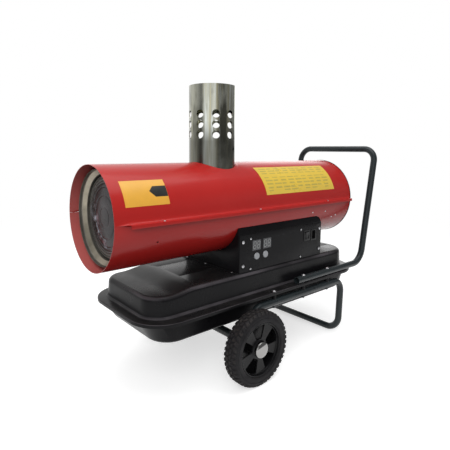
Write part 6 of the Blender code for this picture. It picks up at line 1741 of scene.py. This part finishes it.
class HEATER_OT_displays(bpy.types.Operator):
    """Builds the two displays with plain digits"""
    bl_idname = "heater.displays"
    bl_label = "Displays"

    def execute(self, context):
        box = context.scene.heater_controls
        low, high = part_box("digit_display")
        width, height = box.display_size
        half_w, half_h = width * DIGIT_HALF[0], height * DIGIT_HALF[1]
        face = -box.face_y + box.display_recess
        parts = [plate("back", "Y", *seen_along_y(low, high), -box.face_y + 0.0018, high.y, 0.001)]
        bars = []
        for x in [along(distance) for distance in box.display_places]:
            middle = (x, box.display_z)
            back = -box.face_y + 0.002
            parts.append(plate("face", "Y", middle, (width, height), face, back, 0.0006, 0.0002))
            for left in (x - width * DIGIT_PLACE, x + width * DIGIT_PLACE):
                for start, end in EIGHT:
                    gap_u, gap_v = [SEGMENT_GAP * (last > first) for first, last in zip(start, end)]
                    ends = []
                    for (u, v), way in ((start, 1), (end, -1)):
                        level = v * half_h + way * gap_v
                        shift = u * half_w + way * gap_u + DIGIT_LEAN * level / half_h
                        ends.append((left + shift, box.display_z + level))
                    bars.append(segment("bar", *ends, face - 0.0003, face + 0.0002))
        fixed(merged("display_glass", parts), "display_face", "digit_display")
        fixed(merged("display_digits", bars), "digit", slot="display_face")
        return {"FINISHED"}


class HEATER_OT_buttons(bpy.types.Operator):
    """Builds the two round setting buttons"""
    bl_idname = "heater.buttons"
    bl_label = "Buttons"

    def execute(self, context):
        box = context.scene.heater_controls
        radius, collar = box.button_radius, -box.face_y + 0.0018
        for node, body, distance in zip(("lower_setting_button", "raise_setting_button"),
                                        ("lower_button", "raise_button"), box.button_places):
            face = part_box(node)[0].y
            profile = [(0.0, face + 0.0004), (radius * 0.45, face + 0.00025), (radius * 0.78, face),
                       (radius * 0.92, face + 0.0004), (radius, face + 0.0015), (radius, collar),
                       (radius + 0.002, collar), (radius + 0.002, collar + 0.002), (0.004, collar + 0.002),
                       (0.004, collar + 0.012), (0.0, collar + 0.012)]
            item = lathe(node + "_key", soften(profile, 0.0004, 3), "Y", (along(distance), box.button_z), 56)
            settled(item, "grey_button", body, node)
        return {"FINISHED"}


class HEATER_OT_rocker(bpy.types.Operator):
    """Builds the power rocker and its bezel"""
    bl_idname = "heater.rocker"
    bl_label = "Power rocker"

    def execute(self, context):
        box = context.scene.heater_controls
        x, z = middle = along(box.rocker_place), box.rocker_z
        width, height = box.rocker_size
        rim_y = -box.face_y - SEAT_GAP
        low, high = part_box("rocker_bezel")
        size = seen_along_y(low, high)[1]
        bezel = plate("rocker_bezel_ring", "Y", middle, size, low.y, rim_y, 0.0022, 0.0005)
        neck = plate("sleeve", "Y", middle, grown(box.rocker_size, 0.0058), rim_y - 0.0002, high.y, 0.001)
        for item in (bezel, neck):
            opened(item, middle, grown(box.rocker_size, 0.0018), low.y - 0.002, high.y - 0.002, 0.0008)
        fixed(merged("rocker_frame", [bezel, neck]), "black_plastic", "rocker_bezel")
        half = height / 2
        pivot = (x, -box.face_y + 0.003, z)
        lift, back = half * tan(box.rocker_tilt), pivot[1] + 0.0045
        outline = []
        for step in range(13):
            share = -1 + 2 * step / 12
            outline.append((pivot[1] - 0.0042 - lift * share ** 2, z + half * share))
        outline += [(pivot[1], z + half), (back, z + half * 0.45), (back, z - half * 0.45),
                    (pivot[1], z - half)]
        key = bevelled(prism("rocker_key", outline, "X", x - width / 2, x + width / 2), 0.0006, 2, 40.0)
        pin = rod("pin", "X", pivot[1:], 0.0015, low.x + 0.0035, high.x - 0.0035)
        key = turned(merged("rocker_face", [key, pin]), "X", box.rocker_tilt, pivot)
        settled(key, "gloss_black_plastic", "rocker", "power_rocker")
        return {"FINISHED"}


class HEATER_OT_inlet(bpy.types.Operator):
    """Builds the mains inlet with its three pins"""
    bl_idname = "heater.inlet"
    bl_label = "Power inlet"

    def execute(self, context):
        box = context.scene.heater_controls
        x, z = middle = along(box.inlet_place), box.inlet_z
        low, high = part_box("power_inlet")
        rim_y = -box.face_y - SEAT_GAP
        back = high.y - 0.006
        size, neck = seen_along_y(low, high)[1], grown(box.inlet_size, 0.0044)
        flange = plate("flange", "Y", middle, size, low.y, rim_y, 0.003, 0.0004)
        sleeve = plate("sleeve", "Y", middle, neck, rim_y - 0.0002, high.y, 0.003, 0.0004)
        for item in (flange, sleeve):
            opened(item, middle, box.inlet_size, low.y - 0.003, back, 0.0026)
        fixed(merged("inlet_socket_body", [flange, sleeve]), "black_plastic", "power_inlet")
        pins = [plate("pin", "Y", (x, z + across * 0.007), (0.002, 0.004), back - 0.011, back + 0.003, 0.0005,
                      0.0004) for across in (-1, 0, 1)]
        fixed(merged("inlet_pins", pins), "zinc_plate")
        return {"FINISHED"}


# Labels

LABEL_LIFT = 0.00005


def decal(name, corners, casing, thickness, printed=False):
    """Thin sheet on the near side of the casing, or print on it, with corners as (distance, angle)."""
    lift = LABEL_LIFT + (thickness if printed else 0.0)
    thickness = thickness * 0.5 if printed else thickness
    shape = bmesh.new()
    shape.faces.new(ring(shape, [(distance, angle, 0.0) for distance, angle in corners]))
    step = radians(1.5)
    level = min(angle for distance, angle in corners) + step
    while level < max(angle for distance, angle in corners) - 1e-4:
        geometry = shape.verts[:] + shape.edges[:] + shape.faces[:]
        bmesh.ops.bisect_plane(shape, geom=geometry, plane_co=(0.0, level, 0.0), plane_no=(0.0, 1.0, 0.0))
        level += step
    pushed = bmesh.ops.extrude_face_region(shape, geom=shape.faces[:], use_keep_orig=True)
    upper = {item for item in pushed["geom"] if isinstance(item, bmesh.types.BMVert)}
    for vert in shape.verts:
        distance, angle = vert.co.x, vert.co.y
        radius = casing.radius + lift + (thickness if vert in upper else 0.0)
        vert.co = (along(distance), -radius * cos(angle), casing.axis_z + radius * sin(angle))
    return to_object(name, shape)


def rectangle(start, end, low, high):
    return [(start, low), (end, low), (end, high), (start, high)]


# Middle and height of each row of blocks, as shares of the wide label's height
LABEL_ROWS = ((0.90, 0.045), (0.80, 0.050), (0.70, 0.035), (0.545, 0.028), (0.44, 0.050), (0.33, 0.050),
              (0.21, 0.050), (0.12, 0.040))
LABEL_COLUMNS = 9


class HEATER_OT_labels(bpy.types.Operator):
    """Builds the two thin labels: an airflow arrow and a plain blocked one"""
    bl_idname = "heater.labels"
    bl_label = "Labels"

    def execute(self, context):
        labels, casing = context.scene.heater_labels, context.scene.heater_casing
        thick = labels.thickness
        start, end = labels.arrow_span
        low, tall = labels.arrow_low, labels.arrow_high - labels.arrow_low
        ground = decal("arrow_label", rectangle(start, end, low, labels.arrow_high), casing, thick)
        fixed(ground, "arrow_label", slot="red_enamel")
        arrow = [(0.113, 0.53), (0.129, 0.30), (end - 0.0004, 0.30), (end - 0.0004, 0.72), (0.127, 0.72)]
        arrow = decal("arrow_print", [(x, low + tall * share) for x, share in arrow], casing, thick, True)
        fixed(arrow, "label_print", slot="black_enamel")
        start, end = labels.plain_span
        low, tall = labels.plain_low, labels.plain_high - labels.plain_low
        ground = decal("wide_label", rectangle(start, end, low, labels.plain_high), casing, thick)
        fixed(ground, "wide_label", slot="red_enamel")
        pitch = (end - start - 0.030) / LABEL_COLUMNS
        blocks = []
        for column in range(LABEL_COLUMNS):
            left = start + 0.016 + pitch * column
            for row, (base, size) in enumerate(LABEL_ROWS):
                if row == 7 and column % 3 == 1:
                    continue
                wide = pitch * (0.88 - 0.11 * ((column * 3 + row * 5) % 4))
                block = rectangle(left, left + wide, low + tall * (base - size / 2),
                                  low + tall * (base + size / 2))
                blocks.append(decal("block", block, casing, thick, True))
        fixed(merged("label_blocks", blocks), "label_block", slot="red_enamel")
        return {"FINISHED"}


class HEATER_OT_kept(bpy.types.Operator):
    """Gives the CAD pieces that stay their procedural finishes"""
    bl_idname = "heater.kept"
    bl_label = "Inner pieces"

    def execute(self, context):
        for finish, names in KEPT_FINISHES.items():
            for name in names:
                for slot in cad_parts[name].material_slots:
                    slot.material = finish_of(finish)
        return {"FINISHED"}


# Stage

def area_light(name, place, size, power, glossy=True):
    light = bpy.data.lights.new(name, "AREA")
    light.shape = "RECTANGLE"
    light.size, light.size_y = size
    light.energy = power
    item = bpy.data.objects.new(name, light)
    bpy.context.scene.collection.objects.link(item)
    item.location = place
    item.rotation_euler = (Vector(LIGHT_TARGET) - Vector(place)).to_track_quat("-Z", "Y").to_euler()
    item.visible_glossy = glossy


LIGHT_TARGET = (0.0, 0.0, 0.45)


def seen_by_eye(tree):
    """1 where a camera, glossy or transmission ray arrives."""
    rays = shader_node(tree, "LightPath")
    value = rays["Is Camera Ray"]
    for kind in ("Is Glossy Ray", "Is Transmission Ray"):
        value = maths(tree, "MAXIMUM", value, rays[kind])
    return value


def lobe(tree, direction, way, low, high, strength):
    """Soft patch of light round a direction, from low to high in its dot product."""
    dot = vector_maths(tree, "DOT_PRODUCT", direction, way)["Value"]
    return spread(tree, dot, low, high, 0.0, strength, "SMOOTHSTEP")


# Direction, start and end of its dot product, and strength of each soft patch that reflections show
STUDIO_PATCHES = (((0.0, 1.0, 0.0), 0.10, 0.80, 0.78), ((0.84, 0.50, 0.20), 0.93, 0.995, 1.5),
                  ((-0.78, -0.62, 0.05), 0.72, 0.98, 0.80), ((0.0, 0.0, 1.0), 0.50, 0.95, 0.42))
STUDIO_BASE = 0.22
WHITE = (1.0, 1.0, 1.0, 1.0)


def studio_reflections(tree):
    """What reflections show: a white backdrop, a window on the near left and a paler ceiling."""
    direction = shader_node(tree, "TexCoord")["Generated"]
    value = STUDIO_BASE
    for patch in STUDIO_PATCHES:
        value = maths(tree, "ADD", lobe(tree, direction, *patch), value)
    return value


def mixed_shader(tree, factor, first, second):
    return shader_node(tree, "MixShader", {0: factor, 1: first, 2: second})["Shader"]


def white_world(strength):
    """White where the camera looks, studio patches in reflections and a softer light for everything else."""
    world = bpy.data.worlds.new("studio")
    bpy.context.scene.world = world
    world.use_nodes = True
    tree = world.node_tree
    tree.nodes.clear()
    rays = shader_node(tree, "LightPath")
    light = None
    for kind, level in ((None, strength), ("Is Glossy Ray", studio_reflections(tree)),
                        ("Is Transmission Ray", 1.0), ("Is Camera Ray", 1.0)):
        seen = shader_node(tree, "Background", {"Color": WHITE, "Strength": level})["Background"]
        light = mixed_shader(tree, rays[kind], light, seen) if kind else seen
    shader_node(tree, "OutputWorld", {"Surface": light})


def floor_finish(stage):
    """Pale floor that keeps shadows near the object and turns into the white backdrop away from it."""
    material = bpy.data.materials.new("look_floor")
    material.use_nodes = True
    tree = material.node_tree
    shader = tree.nodes["Principled BSDF"]
    tone = group_node(tree, "tone_drift", First=rgba(stage.floor), Second=rgba(stage.floor, 0.99), Scale=1.5)
    give(tree, shader, {"Base Color": tone, "Roughness": 0.9, "Specular IOR Level": 0.1,
                        "Emission Color": WHITE, "Emission Strength": stage.floor_glow})
    away = vector_maths(tree, "LENGTH", own_place(tree))["Value"]
    white = shader_node(tree, "Emission")["Emission"]
    dim = shader_node(tree, "BsdfDiffuse", {"Color": rgba((stage.floor_bounce,) * 3)})["BSDF"]
    seen = mixed_shader(tree, spread(tree, away, *stage.floor_fade), shader.outputs["BSDF"], white)
    surface = mixed_shader(tree, seen_by_eye(tree), dim, seen)
    give(tree, tree.nodes["Material Output"], {"Surface": surface})
    return material


class HEATER_OT_stage(bpy.types.Operator):
    """Builds the pale floor, the lights, the white surroundings and the camera"""
    bl_idname = "heater.stage"
    bl_label = "Stage"

    def execute(self, context):
        scene = context.scene
        stage = scene.heater_stage
        half = stage.floor_size / 2
        floor = prism("floor", rectangle(-half, half, -half, half), "Z", -0.02, 0.0)
        floor.data.materials.append(floor_finish(stage))
        white_world(stage.sky)
        area_light("top_light", (-0.2, -0.2, 2.9), (3.0, 2.4), stage.top_power)
        area_light("key_light", (-2.2, -1.9, 2.1), (2.2, 2.0), stage.key_power, glossy=False)
        area_light("fill_light", (2.4, -2.0, 1.4), (1.8, 1.4), stage.fill_power, glossy=False)
        camera = bpy.data.cameras.new("camera")
        camera.sensor_width = 36.0
        camera.lens = stage.lens
        camera.shift_x, camera.shift_y = stage.shift
        item = bpy.data.objects.new("camera", camera)
        scene.collection.objects.link(item)
        yaw, pitch, roll = stage.camera_yaw, stage.camera_pitch, stage.camera_roll
        ahead = Vector((-sin(yaw) * cos(pitch), cos(yaw) * cos(pitch), -sin(pitch)))
        right = ahead.cross(Vector((0.0, 0.0, 1.0))).normalized()
        up = right.cross(ahead)
        right, up = right * cos(roll) + up * sin(roll), up * cos(roll) - right * sin(roll)
        turn = Matrix((right, up, -ahead)).transposed().to_4x4()
        item.matrix_world = Matrix.Translation(stage.camera_place) @ turn
        scene.camera = item
        scene.view_settings.view_transform = "Standard"
        return {"FINISHED"}


OPERATORS = (HEATER_OT_casing, HEATER_OT_flue, HEATER_OT_exchanger, HEATER_OT_guard, HEATER_OT_tank,
             HEATER_OT_filler, HEATER_OT_handle, HEATER_OT_frame, HEATER_OT_bolts, HEATER_OT_wheels,
             HEATER_OT_box, HEATER_OT_panel, HEATER_OT_displays, HEATER_OT_buttons, HEATER_OT_rocker,
             HEATER_OT_inlet, HEATER_OT_labels, HEATER_OT_kept, HEATER_OT_stage)


class HEATER_PT_pieces(bpy.types.Panel):
    """Lists the heater's pieces and their sizes"""
    bl_idname = "HEATER_PT_pieces"
    bl_label = "Heater"
    bl_space_type = "VIEW_3D"
    bl_region_type = "UI"
    bl_category = "Heater"

    def draw(self, context):
        for operator in OPERATORS:
            self.layout.operator(operator.bl_idname)
        for settings in SETTINGS:
            box = self.layout.box()
            group = getattr(context.scene, settings_name(settings))
            for key in settings.__annotations__:
                box.prop(group, key)


def settings_name(settings):
    return "heater_" + settings.__name__[len("Heater"):].lower()


def register():
    for item in SETTINGS + OPERATORS + (HEATER_PT_pieces,):
        bpy.utils.register_class(item)
    for settings in SETTINGS:
        setattr(bpy.types.Scene, settings_name(settings), PointerProperty(type=settings))


def unregister():
    for settings in SETTINGS:
        delattr(bpy.types.Scene, settings_name(settings))
    for item in reversed(SETTINGS + OPERATORS + (HEATER_PT_pieces,)):
        bpy.utils.unregister_class(item)


def main():
    register()
    for operator in OPERATORS:
        area, name = operator.bl_idname.split(".")
        getattr(getattr(bpy.ops, area), name)()


if __name__ == "__main__":
    main()
